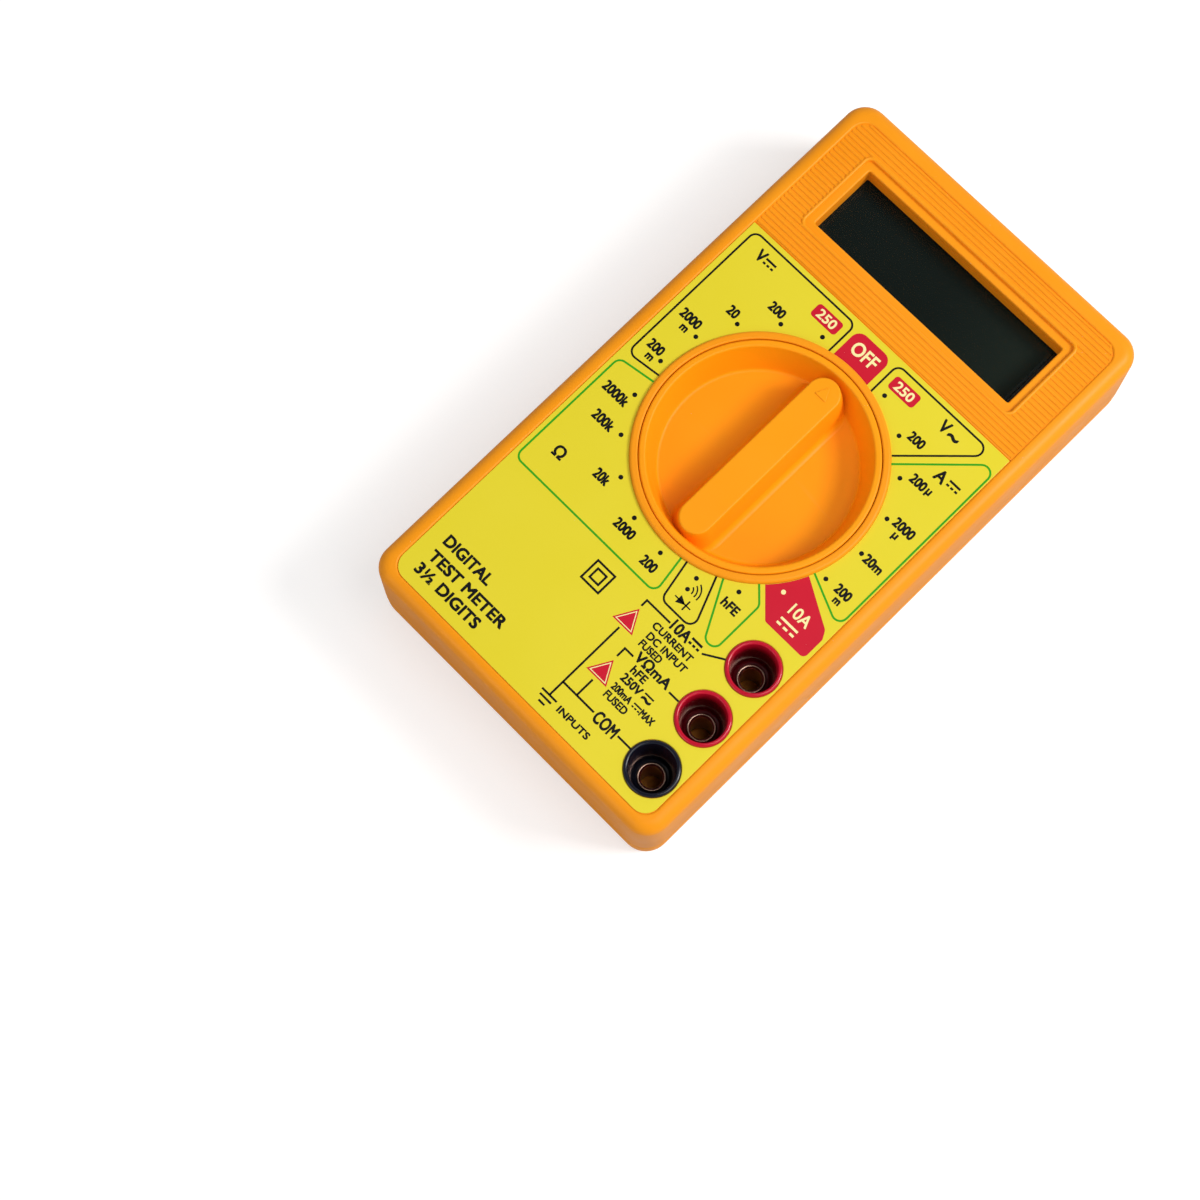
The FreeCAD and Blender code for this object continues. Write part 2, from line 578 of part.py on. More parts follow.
def make_trimmer():
    """The calibration trimmer: a square base with a slotted rotor that turns in it."""
    base = new_body("trimmer_base")
    spot = ("trimmer_x", "trimmer_y")
    block(base, *spot, "trimmer_foot", "board_foot", "trimmer_size", "trimmer_size")
    disc(base, *spot, "trimmer_foot", "trimmer_seat", "rotor_radius + running_gap", cut=True)
    rotor = new_body("trimmer_rotor")
    disc(rotor, *spot, "rotor_low", "rotor_high", "rotor_radius")
    block(rotor, *spot, "rotor_low", "rotor_low + rotor_slot_depth", "rotor_slot", "1.6 * rotor_radius",
          cut=True)


def make_small_parts():
    """Capacitors, transistors, buzzer and resistors on the back of the board."""
    electrolytic = new_body("electrolytic_capacitor")
    disc(electrolytic, "electrolytic_x", "electrolytic_y", "electrolytic_foot", "board_foot",
         "electrolytic_radius")
    film = new_body("film_capacitors")
    for number in range(FILM_CAPACITORS):
        slab(film, "film_x", f"film_y + {number} * film_pitch", "board_foot - film_height", "board_foot",
             "film_width", "film_length", "film_corner")
    transistors = new_body("transistors")
    for number in range(TRANSISTORS):
        x = f"transistor_x + {number} * transistor_pitch"
        disc(transistors, x, "transistor_y", "transistor_foot", "board_foot", "transistor_radius")
        block(transistors, x, "transistor_y - transistor_flat - transistor_radius / 2", "transistor_foot",
              "board_foot", "2 * transistor_radius", "transistor_radius", cut=True)
    buzzer = new_body("buzzer")
    spot = ("buzzer_x", "buzzer_y")
    disc(buzzer, *spot, "board_foot - buzzer_height", "board_foot", "buzzer_radius")
    disc(buzzer, *spot, "board_foot - buzzer_height", "board_foot - buzzer_height / 2", "buzzer_port",
         cut=True)
    make_resistors()


def make_resistors():
    """A row of leaded resistors lying across the board, each with its two bent leads."""
    body = new_body("resistors")
    for number in range(RESISTORS):
        x = f"resistor_x + {number} * resistor_pitch"
        sketch = new_sketch(body, x, "resistor_height", "-resistor_y - resistor_length / 2", "XZ_Plane")
        draw_circle(sketch, "resistor_radius")
        extrude(body, sketch, "resistor_length")
        lead = new_sketch(body, x, "resistor_height", "-resistor_y - resistor_length / 2 - wire_reach",
                          "XZ_Plane")
        draw_circle(lead, "wire_radius")
        extrude(body, lead, "resistor_length + 2 * wire_reach")
        for side in (-1, 1):
            y = f"resistor_y + {side} * (resistor_length / 2 + wire_reach - wire_radius)"
            disc(body, x, y, "resistor_height", "board_foot", "wire_radius")


def lying_cylinder(label, middle_x, length, radius):
    """A round bar along X on the fuse's axis."""
    bar = doc.addObject("Part::Cylinder", label)
    bar.Label = label
    bind(bar, "Radius", radius)
    bind(bar, "Height", length)
    bar.Placement.Rotation = FreeCAD.Rotation(FreeCAD.Vector(0, 1, 0), SQUARE_TURN)
    bind(bar, ".Placement.Base.x", f"{middle_x} - ({length}) / 2")
    bind(bar, ".Placement.Base.y", "fuse_y")
    bind(bar, ".Placement.Base.z", "fuse_height")
    return bar


def boolean(kind, label, *pieces):
    """A Part cut or fuse of other objects, kept as a sub-part."""
    result = doc.addObject(kind, label)
    result.Label = label
    if kind == "Part::Cut":
        result.Base, result.Tool = pieces
    else:
        result.Shapes = list(pieces)
    return result


def make_fuse():
    """The glass fuse: tube, two end caps, the wire inside, and the two clips that hold it."""
    tube = lying_cylinder("fuse_tube", "fuse_x", "fuse_length", "fuse_radius")
    hollow = lying_cylinder("fuse_hollow", "fuse_x", "fuse_length", "fuse_radius - fuse_wall")
    sub_parts.append(boolean("Part::Cut", "fuse_glass", tube, hollow))
    wire_length = "fuse_length - 2 * fuse_wall"
    sub_parts.append(lying_cylinder("fuse_wire", "fuse_x", wire_length, "fuse_wire_radius"))
    caps = []
    clips = []
    for name, side in (("left", -1), ("right", 1)):
        middle = f"fuse_x + {side} * (fuse_length - cap_length) / 2"
        shell = lying_cylinder(f"cap_{name}", middle, "cap_length", "cap_radius")
        room = lying_cylinder(f"cap_room_{name}", middle, "cap_length", "fuse_radius")
        ring = boolean("Part::Cut", f"cap_ring_{name}", shell, room)
        end_middle = f"fuse_x + {side} * (fuse_length / 2 + fuse_wall / 2)"
        end = lying_cylinder(f"cap_end_{name}", end_middle, "fuse_wall", "cap_radius")
        caps.append(boolean("Part::MultiFuse", f"end_cap_{name}", ring, end))
        clips.append(make_clip(name, middle))
    sub_parts.append(group("fuse_caps", caps))
    sub_parts.append(group("fuse_clips", clips))


def group(label, pieces):
    """Separate solids that share one node."""
    result = doc.addObject("Part::Compound", label)
    result.Label = label
    result.Links = list(pieces)
    return result


def make_clip(name, middle):
    """A sprung clip: two cheeks and a foot round a fuse cap, open away from the board."""
    cheeks = doc.addObject("Part::Box", f"clip_block_{name}")
    bind(cheeks, "Length", "clip_width")
    bind(cheeks, "Width", "clip_span")
    bind(cheeks, "Height", "board_foot - clip_foot")
    bind(cheeks, ".Placement.Base.x", f"{middle} - clip_width / 2")
    bind(cheeks, ".Placement.Base.y", "fuse_y - clip_span / 2")
    bind(cheeks, ".Placement.Base.z", "clip_foot")
    seat = lying_cylinder(f"clip_seat_{name}", middle, "clip_width", "cap_radius")
    opening = doc.addObject("Part::Box", f"clip_opening_{name}")
    bind(opening, "Length", "clip_width")
    bind(opening, "Width", "2 * cap_radius")
    bind(opening, "Height", "board_foot - clip_foot - fuse_wall")
    bind(opening, ".Placement.Base.x", f"{middle} - clip_width / 2")
    bind(opening, ".Placement.Base.y", "fuse_y - cap_radius")
    bind(opening, ".Placement.Base.z", "clip_foot")
    room = boolean("Part::MultiFuse", f"clip_room_{name}", seat, opening)
    return boolean("Part::Cut", f"clip_{name}", cheeks, room)


# ---- wires and battery -------------------------------------------------------------------------

def bent_wire(label, x, radius, points, bend, start_role, start_spot):
    """A round wire that lies in one upright plane: straight runs joined by arcs."""
    body = new_body(label)
    path = new_sketch(body, 0, 0, x, role="YZ_Plane")
    draw_path(path, points, bend)
    profile = new_sketch(body, *start_spot, role=start_role)
    draw_circle(profile, radius)
    doc.recompute()
    pipe = body.newObject("PartDesign::AdditivePipe", "run")
    pipe.Profile = profile
    pipe.Spine = path
    doc.recompute()
    length = sum(edge.Length for edge in path.Shape.Edges)
    print(f"{label}: {length:.2f} mm long, volume {body.Shape.Volume:.3f} mm3, "
          f"section times length {length * profile.Shape.Edges[0].Length * value(radius) / 2:.3f} mm3")


def make_wires():
    """The battery's two leads, and the thick shunt that carries the ten ampere range."""
    snap_x = "battery_x - battery_length / 2 - terminal_height - snap_thick / 2"
    board_top = "board_foot + board_thick"
    for name in ("red", "black"):
        height, end = f"{name}_lead_height", f"{name}_lead_end_y"
        bent_wire(f"battery_lead_{name}", snap_x, "lead_radius",
                  [("lead_start_y", height), (end, height), (end, board_top)], f"{name}_lead_bend",
                  "XZ_Plane", (snap_x, height, "-lead_start_y"))
    bent_wire("current_shunt", "shunt_x", "shunt_radius",
              [("shunt_start_y", "board_foot"), ("shunt_start_y", "shunt_low"),
               ("shunt_end_y", "shunt_low"), ("shunt_end_y", "board_foot")], "shunt_bend",
              "XY_Plane", ("shunt_x", "shunt_start_y", "board_foot"))


def lying_slab(body, low_x, high_x, width, height, corner):
    """A round-cornered pad along X, centred on the battery's axis."""
    sketch = new_sketch(body, "battery_y", "back_floor + battery_height / 2", low_x, role="YZ_Plane")
    draw_rounded_rectangle(sketch, width, height, corner)
    return extrude(body, sketch, f"{high_x} - ({low_x})")


def make_battery():
    """The nine volt battery, its two terminals, the snap plate on them and the foam that steadies it."""
    end = "battery_x - battery_length / 2"
    battery = new_body("battery")
    lying_slab(battery, end, "battery_x + battery_length / 2", "battery_width", "battery_height",
               "battery_corner")
    terminals = new_body("battery_terminals")
    for side in (-1, 1):
        sketch = new_sketch(terminals, f"battery_y + {side} * terminal_spread",
                            "back_floor + battery_height / 2", f"{end} - terminal_height",
                            role="YZ_Plane")
        draw_circle(sketch, "terminal_radius")
        extrude(terminals, sketch, "terminal_height")
    snap = new_body("battery_snap")
    lying_slab(snap, f"{end} - terminal_height - snap_thick", f"{end} - terminal_height", "snap_width",
               "snap_height", "snap_corner")
    cushion = new_body("battery_cushion")
    slab(cushion, "battery_x", "battery_y", "back_floor + battery_height", "face_underside",
         "cushion_width", "cushion_length", "cushion_corner")


# ---- build, check and write --------------------------------------------------------------------

def check_document():
    """Stops if any object failed to build or any sub-part's shape is empty or faulty."""
    doc.recompute()
    failed = [thing.Name for thing in doc.Objects if {"Invalid", "Error"} & set(thing.State)]
    if failed:
        raise RuntimeError(f"these objects did not build: {failed}")
    for part in sub_parts:
        if part.Shape.isNull() or not part.Shape.isValid() or not part.Shape.Solids:
            raise RuntimeError(f"{part.Label} has no sound solid")


def write_parts():
    """Writes each sub-part to its own STEP file."""
    os.makedirs("parts", exist_ok=True)
    for part in sub_parts:
        part.Shape.exportStep(f"parts/{part.Label}.step")
        print(f"{part.Label}: {len(part.Shape.Solids)} solid(s), {part.Shape.Volume:.1f} mm3")


make_front_shell()
make_back_shell()
make_case_screws()
make_label()
make_display()
make_knob()
make_wipers()
make_detents()
for socket_number, socket_name in enumerate(("ten_amp", "volt_ohm", "common")):
    make_socket(socket_name, socket_number)
make_board()
make_board_screws()
make_chip()
make_trimmer()
make_small_parts()
make_fuse()
make_wires()
make_battery()
check_document()
write_parts()
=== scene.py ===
# %% [markdown]
# # A pocket multimeter, piece by piece
# The meter is a two-part moulded case with a printed face label, a blank display in a deep window,
# a dished selector knob and three banana sockets. The imported CAD model gives the frame: every piece
# here is drawn in that same frame, so nothing is fitted by eye. We start by loading it.

import math

import bmesh
import bpy
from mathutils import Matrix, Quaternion, Vector


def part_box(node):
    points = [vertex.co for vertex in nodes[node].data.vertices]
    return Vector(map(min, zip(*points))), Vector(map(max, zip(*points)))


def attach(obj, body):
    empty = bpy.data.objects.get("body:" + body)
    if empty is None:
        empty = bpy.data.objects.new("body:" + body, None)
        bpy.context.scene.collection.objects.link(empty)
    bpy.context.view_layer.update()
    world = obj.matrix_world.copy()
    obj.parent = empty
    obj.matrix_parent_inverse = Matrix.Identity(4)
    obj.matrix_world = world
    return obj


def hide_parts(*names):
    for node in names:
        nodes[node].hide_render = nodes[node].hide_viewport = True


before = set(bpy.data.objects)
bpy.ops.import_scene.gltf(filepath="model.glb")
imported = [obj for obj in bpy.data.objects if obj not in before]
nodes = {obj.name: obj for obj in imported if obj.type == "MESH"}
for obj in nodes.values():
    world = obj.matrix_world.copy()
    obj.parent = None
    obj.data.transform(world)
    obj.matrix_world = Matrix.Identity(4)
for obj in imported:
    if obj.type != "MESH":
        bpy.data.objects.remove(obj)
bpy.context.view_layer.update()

# %% [markdown]
# ## Sizes
# Shapes below are written in millimetres, as on a drawing, and turned into metres when a mesh is made.
# The main heights and widths are read back from the CAD nodes, so that a change there is followed here.
# Only the height of the face is written down, as no node's box ends there. HAIR is the gap that keeps
# two faces from lying in exactly the same place.

# %% Sizes from the frame
MM = 0.001
HAIR = 0.02


def box_mm(node):
    """A CAD node's lowest and highest corners in millimetres."""
    return [tuple(c / MM for c in corner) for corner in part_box(node)]


case_low, case_high = box_mm("back_shell")
case_width = case_high[0] - case_low[0]
case_length = case_high[1] - case_low[1]
front_low, front_high = box_mm("front_shell")
label_low, label_high = box_mm("faceplate_label")
label_top = label_high[2]
sleeve_low, sleeve_high = box_mm("socket_sleeve_ten_amp")
glass_low, glass_high = box_mm("display_window")
pointer_top = box_mm("selector_knob")[1][2]
face_top = 24.0
parting = round(front_low[2], 3)
print(f"case {case_width:.1f} x {case_length:.1f} mm, label surface at {label_top:.2f} mm")

# %% [markdown]
# ## Outlines and solids
# Most pieces of a moulded product come from three moves: turning a profile about an axis, stacking
# rings into walls, and cutting a flat plate to an outline with holes. Each move is one short function
# that returns points and faces, and a piece is made by adding such parts together. Round corners are
# true arcs, worked out once in round_corners and used for plans and for profiles alike. A finished
# object is shaded smooth, but its level faces are left flat, as smooth shading would streak them.


# %% Round corners
def round_corners(corners, closed=True, steps=6):
    """Corners are (x, y, radius); each is replaced by a tangent arc of its own radius."""
    result = []
    count = len(corners)
    for index, (x, y, radius) in enumerate(corners):
        at_end = not closed and index in (0, count - 1)
        if radius <= 0 or at_end:
            result.append((x, y))
            continue
        corner = Vector((x, y))
        back = (Vector(corners[index - 1][:2]) - corner).normalized()
        ahead = (Vector(corners[(index + 1) % count][:2]) - corner).normalized()
        half = back.angle(ahead) / 2
        reach = radius / math.tan(half)
        centre = corner + (back + ahead).normalized() * (radius / math.sin(half))
        first = corner + back * reach - centre
        last = corner + ahead * reach - centre
        sweep = math.pi - 2 * half
        for step in range(steps + 1):
            share = step / steps
            spot = centre + (
                first * math.sin((1 - share) * sweep) + last * math.sin(share * sweep)
            ) / math.sin(sweep)
            result.append((spot.x, spot.y))
    return result


def rectangle(width, length, radius, centre=(0, 0), steps=6):
    """A round-cornered rectangle, anticlockwise from its lower left corner."""
    x, y = width / 2, length / 2
    corners = [(-x, -y), (x, -y), (x, y), (-x, y)]
    return round_corners([(a + centre[0], b + centre[1], radius) for a, b in corners], steps=steps)


def circle(radius, centre=(0, 0), steps=64):
    """A circle as points, anticlockwise."""
    turn = 2 * math.pi / steps
    return [
        (centre[0] + radius * math.cos(n * turn), centre[1] + radius * math.sin(n * turn))
        for n in range(steps)
    ]


print("a rounded square has", len(rectangle(10, 10, 2)), "points")


# %% Turned and stacked shapes
def lathe(profile, centre=(0, 0), steps=128, closed=True):
    """Turns a profile of (radius, height) about an upright axis.

    A closed profile is the section of a ring, and comes back to its own start.
    """
    points, rows = [], []
    for radius, height in profile:
        if radius < 1e-6:
            rows.append([len(points)] * steps)
            points.append((centre[0], centre[1], height))
            continue
        rows.append(list(range(len(points), len(points) + steps)))
        points += [(x, y, height) for x, y in circle(radius, centre, steps)]
    pairs = list(zip(rows, rows[1:])) + ([(rows[-1], rows[0])] if closed else [])
    faces = []
    for low, high in pairs:
        for n in range(steps):
            following = (n + 1) % steps
            corners = [low[n], low[following], high[following], high[n]]
            faces.append(list(dict.fromkeys(corners)))
    return points, faces


def stack(rings, closed=False):
    """Joins rings of equal count into walls.

    An open stack is capped at both ends, and a closed one comes back to its first ring.
    """
    count = len(rings[0])
    points = [spot for ring in rings for spot in ring]
    pairs = [(n, n + 1) for n in range(len(rings) - 1)]
    if closed:
        pairs.append((len(rings) - 1, 0))
    faces = [
        [a * count + n, a * count + (n + 1) % count, b * count + (n + 1) % count, b * count + n]
        for a, b in pairs
        for n in range(count)
    ]
    if not closed:
        last = (len(rings) - 1) * count
        faces.append(list(range(count))[::-1])
        faces.append(list(range(last, last + count)))
    return points, faces


def level(outline, height):
    """Lifts a flat outline to a height."""
    return [(x, y, height) for x, y in outline]


def quarter(steps):
    """Angles over a quarter turn, for an edge round that is made of rings."""
    return [math.pi / 2 * step / steps for step in range(steps + 1)]


print("a turned ring has", len(lathe([(1, 0), (2, 0), (2, 1)], steps=8)[1]), "faces")


# %% Flat plates
def plain_mesh(maker):
    """The evaluated mesh of a temporary curve or text object, as points and faces."""
    thing = bpy.data.objects.new("maker", maker)
    bpy.context.scene.collection.objects.link(thing)
    graph = bpy.context.evaluated_depsgraph_get()
    mesh = bpy.data.meshes.new_from_object(thing.evaluated_get(graph))
    points = [tuple(v.co) for v in mesh.vertices]
    faces = [list(p.vertices) for p in mesh.polygons]
    bpy.data.objects.remove(thing)
    bpy.data.meshes.remove(mesh)
    return points, faces


def plate(outline, low, high, holes=(), edge=0.0, steps=2):
    """A flat plate cut to an outline with holes, its edges rounded by the given radius."""
    curve = bpy.data.curves.new("plate", "CURVE")
    curve.dimensions = "2D"
    curve.fill_mode = "BOTH"
    for loop in [outline] + [list(reversed(hole)) for hole in holes]:
        spline = curve.splines.new("POLY")
        spline.points.add(len(loop) - 1)
        for spot, (x, y) in zip(spline.points, loop):
            spot.co = (x, y, 0, 1)
        spline.use_cyclic_u = True
    curve.extrude = (high - low) / 2 - edge
    curve.bevel_depth = edge
    curve.bevel_resolution = steps
    curve.offset = -edge
    points, faces = plain_mesh(curve)
    bpy.data.curves.remove(curve)
    middle = (low + high) / 2
    return [(x, y, z + middle) for x, y, z in points], faces


print("a plate has", len(plate(rectangle(4, 4, 1), 0, 1)[1]), "faces")


# %% One object from many parts
def assemble(name, parts, sharp=35, second=()):
    """One object of several closed parts, with outward faces; the second parts take a second finish."""
    mesh = bpy.data.meshes.new(name)
    points, faces, finishes = [], [], []
    for number, group in enumerate((parts, second)):
        for part_points, part_faces in group:
            start = len(points)
            points += [(x * MM, y * MM, z * MM) for x, y, z in part_points]
            faces += [[n + start for n in face] for face in part_faces]
            finishes += [number] * len(part_faces)
    mesh.from_pydata(points, [], faces)
    mesh.polygons.foreach_set("material_index", finishes)
    shape = bmesh.new()
    shape.from_mesh(mesh)
    bmesh.ops.remove_doubles(shape, verts=shape.verts, dist=1e-8)
    bmesh.ops.recalc_face_normals(shape, faces=shape.faces)
    shape.to_mesh(mesh)
    shape.free()
    mesh.shade_smooth()
    mesh.set_sharp_from_angle(angle=math.radians(sharp))
    mesh.polygons.foreach_set("use_smooth", [abs(p.normal.z) < 0.9999 for p in mesh.polygons])
    thing = bpy.data.objects.new(name, mesh)
    bpy.context.scene.collection.objects.link(thing)
    print(f"{name}: {len(mesh.polygons)} faces")
    return thing


# %% [markdown]
# ## Shared finishes
# The plastics here share three effects: the fine grain that a spark-eroded mould leaves, the few specks
# of dust that settle on any bench tool, and the faint streaks where it has been slid about. Each effect
# is a node group with named inputs, built once and placed in every material with its own values. The
# shader itself stays in the material.


# %% Node group helpers
def new_group(name, inputs, outputs):
    """A shader node group with its inputs and outputs declared and ready to wire."""
    group = bpy.data.node_groups.new(name, "ShaderNodeTree")
    for label, kind, default in inputs:
        socket = group.interface.new_socket(name=label, in_out="INPUT", socket_type=kind)
        socket.default_value = default
    for label, kind in outputs:
        group.interface.new_socket(name=label, in_out="OUTPUT", socket_type=kind)
    entry = group.nodes.new("NodeGroupInput")
    leave = group.nodes.new("NodeGroupOutput")
    return group, entry, leave


def add_node(tree, kind, **settings):
    """Adds a node and sets its plain properties."""
    node = tree.nodes.new(kind)
    for prop, setting in settings.items():
        setattr(node, prop, setting)
    return node


def set_inputs(node, values):
    """Sets a node's unlinked inputs, each by its name or number."""
    for label, value in values.items():
        node.inputs[label].default_value = value


def wire(tree, source, target):
    """Joins an output to an input."""
    tree.links.new(source, target)


# %% Moulded grain: fine noise as a bump, and a soft mottle for roughness
grain, grain_in, grain_out = new_group(
    "moulded_grain",
    [("Scale", "NodeSocketFloat", 1500.0), ("Height", "NodeSocketFloat", 0.00002),
     ("Low Roughness", "NodeSocketFloat", 0.35), ("High Roughness", "NodeSocketFloat", 0.5)],
    [("Normal", "NodeSocketVector"), ("Roughness", "NodeSocketFloat")],
)
place = add_node(grain, "ShaderNodeTexCoord")
fine = add_node(grain, "ShaderNodeTexNoise")
fine.inputs["Detail"].default_value = 3
bump = add_node(grain, "ShaderNodeBump")
bump.inputs["Strength"].default_value = 1.0
mottle = add_node(grain, "ShaderNodeTexNoise")
set_inputs(mottle, {"Scale": 90, "Detail": 4})
spread = add_node(grain, "ShaderNodeMapRange")
set_inputs(spread, {"From Min": 0.3, "From Max": 0.7})
wire(grain, place.outputs["Object"], fine.inputs["Vector"])
wire(grain, place.outputs["Object"], mottle.inputs["Vector"])
wire(grain, grain_in.outputs["Scale"], fine.inputs["Scale"])
wire(grain, fine.outputs["Fac"], bump.inputs["Height"])
wire(grain, grain_in.outputs["Height"], bump.inputs["Distance"])
wire(grain, mottle.outputs["Fac"], spread.inputs["Value"])
wire(grain, grain_in.outputs["Low Roughness"], spread.inputs["To Min"])
wire(grain, grain_in.outputs["High Roughness"], spread.inputs["To Max"])
wire(grain, bump.outputs["Normal"], grain_out.inputs["Normal"])
wire(grain, spread.outputs["Result"], grain_out.inputs["Roughness"])
print("moulded_grain has", len(grain.nodes), "nodes")

# %% Dust specks: small scattered flecks, thinned out by a broad noise
dust, dust_in, dust_out = new_group(
    "dust_specks",
    [("Scale", "NodeSocketFloat", 900.0), ("Amount", "NodeSocketFloat", 0.05)],
    [("Mask", "NodeSocketFloat")],
)
place = add_node(dust, "ShaderNodeTexCoord")
cells = add_node(dust, "ShaderNodeTexVoronoi")
broad = add_node(dust, "ShaderNodeTexNoise")
broad.inputs["Scale"].default_value = 60
near = add_node(dust, "ShaderNodeMath", operation="LESS_THAN")
patch = add_node(dust, "ShaderNodeMath", operation="GREATER_THAN")
patch.inputs[1].default_value = 0.56
both = add_node(dust, "ShaderNodeMath", operation="MULTIPLY")
wire(dust, place.outputs["Object"], cells.inputs["Vector"])
wire(dust, place.outputs["Object"], broad.inputs["Vector"])
wire(dust, dust_in.outputs["Scale"], cells.inputs["Scale"])
wire(dust, cells.outputs["Distance"], near.inputs[0])
wire(dust, dust_in.outputs["Amount"], near.inputs[1])
wire(dust, broad.outputs["Fac"], patch.inputs[0])
wire(dust, near.outputs["Value"], both.inputs[0])
wire(dust, patch.outputs["Value"], both.inputs[1])
wire(dust, both.outputs["Value"], dust_out.inputs["Mask"])
print("dust_specks has", len(dust.nodes), "nodes")


# %% Handling scuffs: faint pale streaks where the case has been slid about
scuffs, scuffs_in, scuffs_out = new_group(
    "handling_scuffs",
    [("Scale", "NodeSocketFloat", 55.0), ("Amount", "NodeSocketFloat", 0.3)],
    [("Mask", "NodeSocketFloat")],
)
place = add_node(scuffs, "ShaderNodeTexCoord")
slide = add_node(scuffs, "ShaderNodeMapping")
set_inputs(slide, {"Rotation": (0.1, 0.2, 0.7), "Scale": (1, 11, 1)})
streak = add_node(scuffs, "ShaderNodeTexNoise")
streak.inputs["Detail"].default_value = 3
keep = add_node(scuffs, "ShaderNodeMapRange")
set_inputs(keep, {"From Min": 0.66, "From Max": 0.76})
weigh = add_node(scuffs, "ShaderNodeMath", operation="MULTIPLY")
wire(scuffs, place.outputs["Object"], slide.inputs["Vector"])
wire(scuffs, slide.outputs["Vector"], streak.inputs["Vector"])
wire(scuffs, scuffs_in.outputs["Scale"], streak.inputs["Scale"])
wire(scuffs, streak.outputs["Fac"], keep.inputs["Value"])
wire(scuffs, keep.outputs["Result"], weigh.inputs[0])
wire(scuffs, scuffs_in.outputs["Amount"], weigh.inputs[1])
wire(scuffs, weigh.outputs["Value"], scuffs_out.inputs["Mask"])
print("handling_scuffs has", len(scuffs.nodes), "nodes")


# %% [markdown]
# ## Materials
# One function lays out the nodes that every moulded or printed finish needs: a colour that varies a
# little across the piece, dust and scuffs over it, and the grain group for the bump and the roughness.
# Metals and clear parts have their own functions, because they need other inputs.


# %% A moulded or printed finish
def start_material(name):
    """A new material, its node tree and its shader."""
    material = bpy.data.materials.new(name)
    material.use_nodes = True
    return material, material.node_tree, material.node_tree.nodes["Principled BSDF"]


def finish(name, colour, deeper, roughness=(0.35, 0.5), grain_height=0.00002, grain_scale=1500.0,
           dust_amount=0.05, mottle_scale=35.0, coat=0.0, specular=0.5, scuffed=0.0):
    """A plastic, rubber, resin or printed finish: two close shades, dust, scuffs, grain and gloss."""
    material, tree, shader = start_material(name)
    place = add_node(tree, "ShaderNodeTexCoord")
    clouds = add_node(tree, "ShaderNodeTexNoise")
    set_inputs(clouds, {"Scale": mottle_scale, "Detail": 5})
    shades = add_node(tree, "ShaderNodeValToRGB")
    shades.color_ramp.elements[0].position = 0.35
    shades.color_ramp.elements[0].color = (*deeper, 1)
    shades.color_ramp.elements[1].position = 0.65
    shades.color_ramp.elements[1].color = (*colour, 1)
    specks = add_node(tree, "ShaderNodeGroup", node_tree=dust)
    specks.inputs["Amount"].default_value = dust_amount
    dusty = add_node(tree, "ShaderNodeMix", data_type="RGBA")
    dusty.inputs["B"].default_value = (0.75, 0.72, 0.68, 1)
    surface = add_node(tree, "ShaderNodeGroup", node_tree=grain)
    set_inputs(surface, {"Scale": grain_scale, "Height": grain_height, "Low Roughness": roughness[0],
                         "High Roughness": roughness[1]})
    wire(tree, place.outputs["Object"], clouds.inputs["Vector"])
    wire(tree, clouds.outputs["Fac"], shades.inputs["Fac"])
    wire(tree, shades.outputs["Color"], dusty.inputs["A"])
    wire(tree, specks.outputs["Mask"], dusty.inputs["Factor"])
    worn = add_node(tree, "ShaderNodeMix", data_type="RGBA")
    worn.inputs["B"].default_value = (*[0.5 + 0.5 * part for part in colour], 1)
    rubbed = add_node(tree, "ShaderNodeGroup", node_tree=scuffs)
    rubbed.inputs["Amount"].default_value = scuffed
    wire(tree, dusty.outputs["Result"], worn.inputs["A"])
    wire(tree, rubbed.outputs["Mask"], worn.inputs["Factor"])
    wire(tree, worn.outputs["Result"], shader.inputs["Base Color"])
    wire(tree, surface.outputs["Normal"], shader.inputs["Normal"])
    wire(tree, surface.outputs["Roughness"], shader.inputs["Roughness"])
    set_inputs(shader, {"Coat Weight": coat, "Coat Roughness": 0.08, "Specular IOR Level": specular})
    return material


# %% Metals and clear parts
def metal(name, colour, deeper, roughness=(0.2, 0.4), stretch=(1, 1, 12), scale=400.0):
    """A drawn, turned or plated metal: fine streaks along one axis in colour and roughness."""
    material, tree, shader = start_material(name)
    place = add_node(tree, "ShaderNodeTexCoord")
    along = add_node(tree, "ShaderNodeMapping")
    along.inputs["Scale"].default_value = stretch
    streaks = add_node(tree, "ShaderNodeTexNoise")
    set_inputs(streaks, {"Scale": scale, "Detail": 4})
    shades = add_node(tree, "ShaderNodeValToRGB")
    shades.color_ramp.elements[0].color = (*deeper, 1)
    shades.color_ramp.elements[1].color = (*colour, 1)
    gloss = add_node(tree, "ShaderNodeMapRange")
    set_inputs(gloss, {"To Min": roughness[0], "To Max": roughness[1]})
    wire(tree, place.outputs["Object"], along.inputs["Vector"])
    wire(tree, along.outputs["Vector"], streaks.inputs["Vector"])
    wire(tree, streaks.outputs["Fac"], shades.inputs["Fac"])
    wire(tree, streaks.outputs["Fac"], gloss.inputs["Value"])
    wire(tree, shades.outputs["Color"], shader.inputs["Base Color"])
    wire(tree, gloss.outputs["Result"], shader.inputs["Roughness"])
    shader.inputs["Metallic"].default_value = 1.0
    return material


def clear(name, tint, haze):
    """A clear moulded or glass part, mostly see-through, with faint wipe marks in its gloss."""
    material, tree, shader = start_material(name)
    surface = add_node(tree, "ShaderNodeGroup", node_tree=grain)
    set_inputs(surface, {"Height": 0.0, "Low Roughness": 0.05, "High Roughness": 0.085})
    wire(tree, surface.outputs["Roughness"], shader.inputs["Roughness"])
    set_inputs(shader, {"Base Color": (*tint, 1), "Alpha": haze, "IOR": 1.49})
    return material


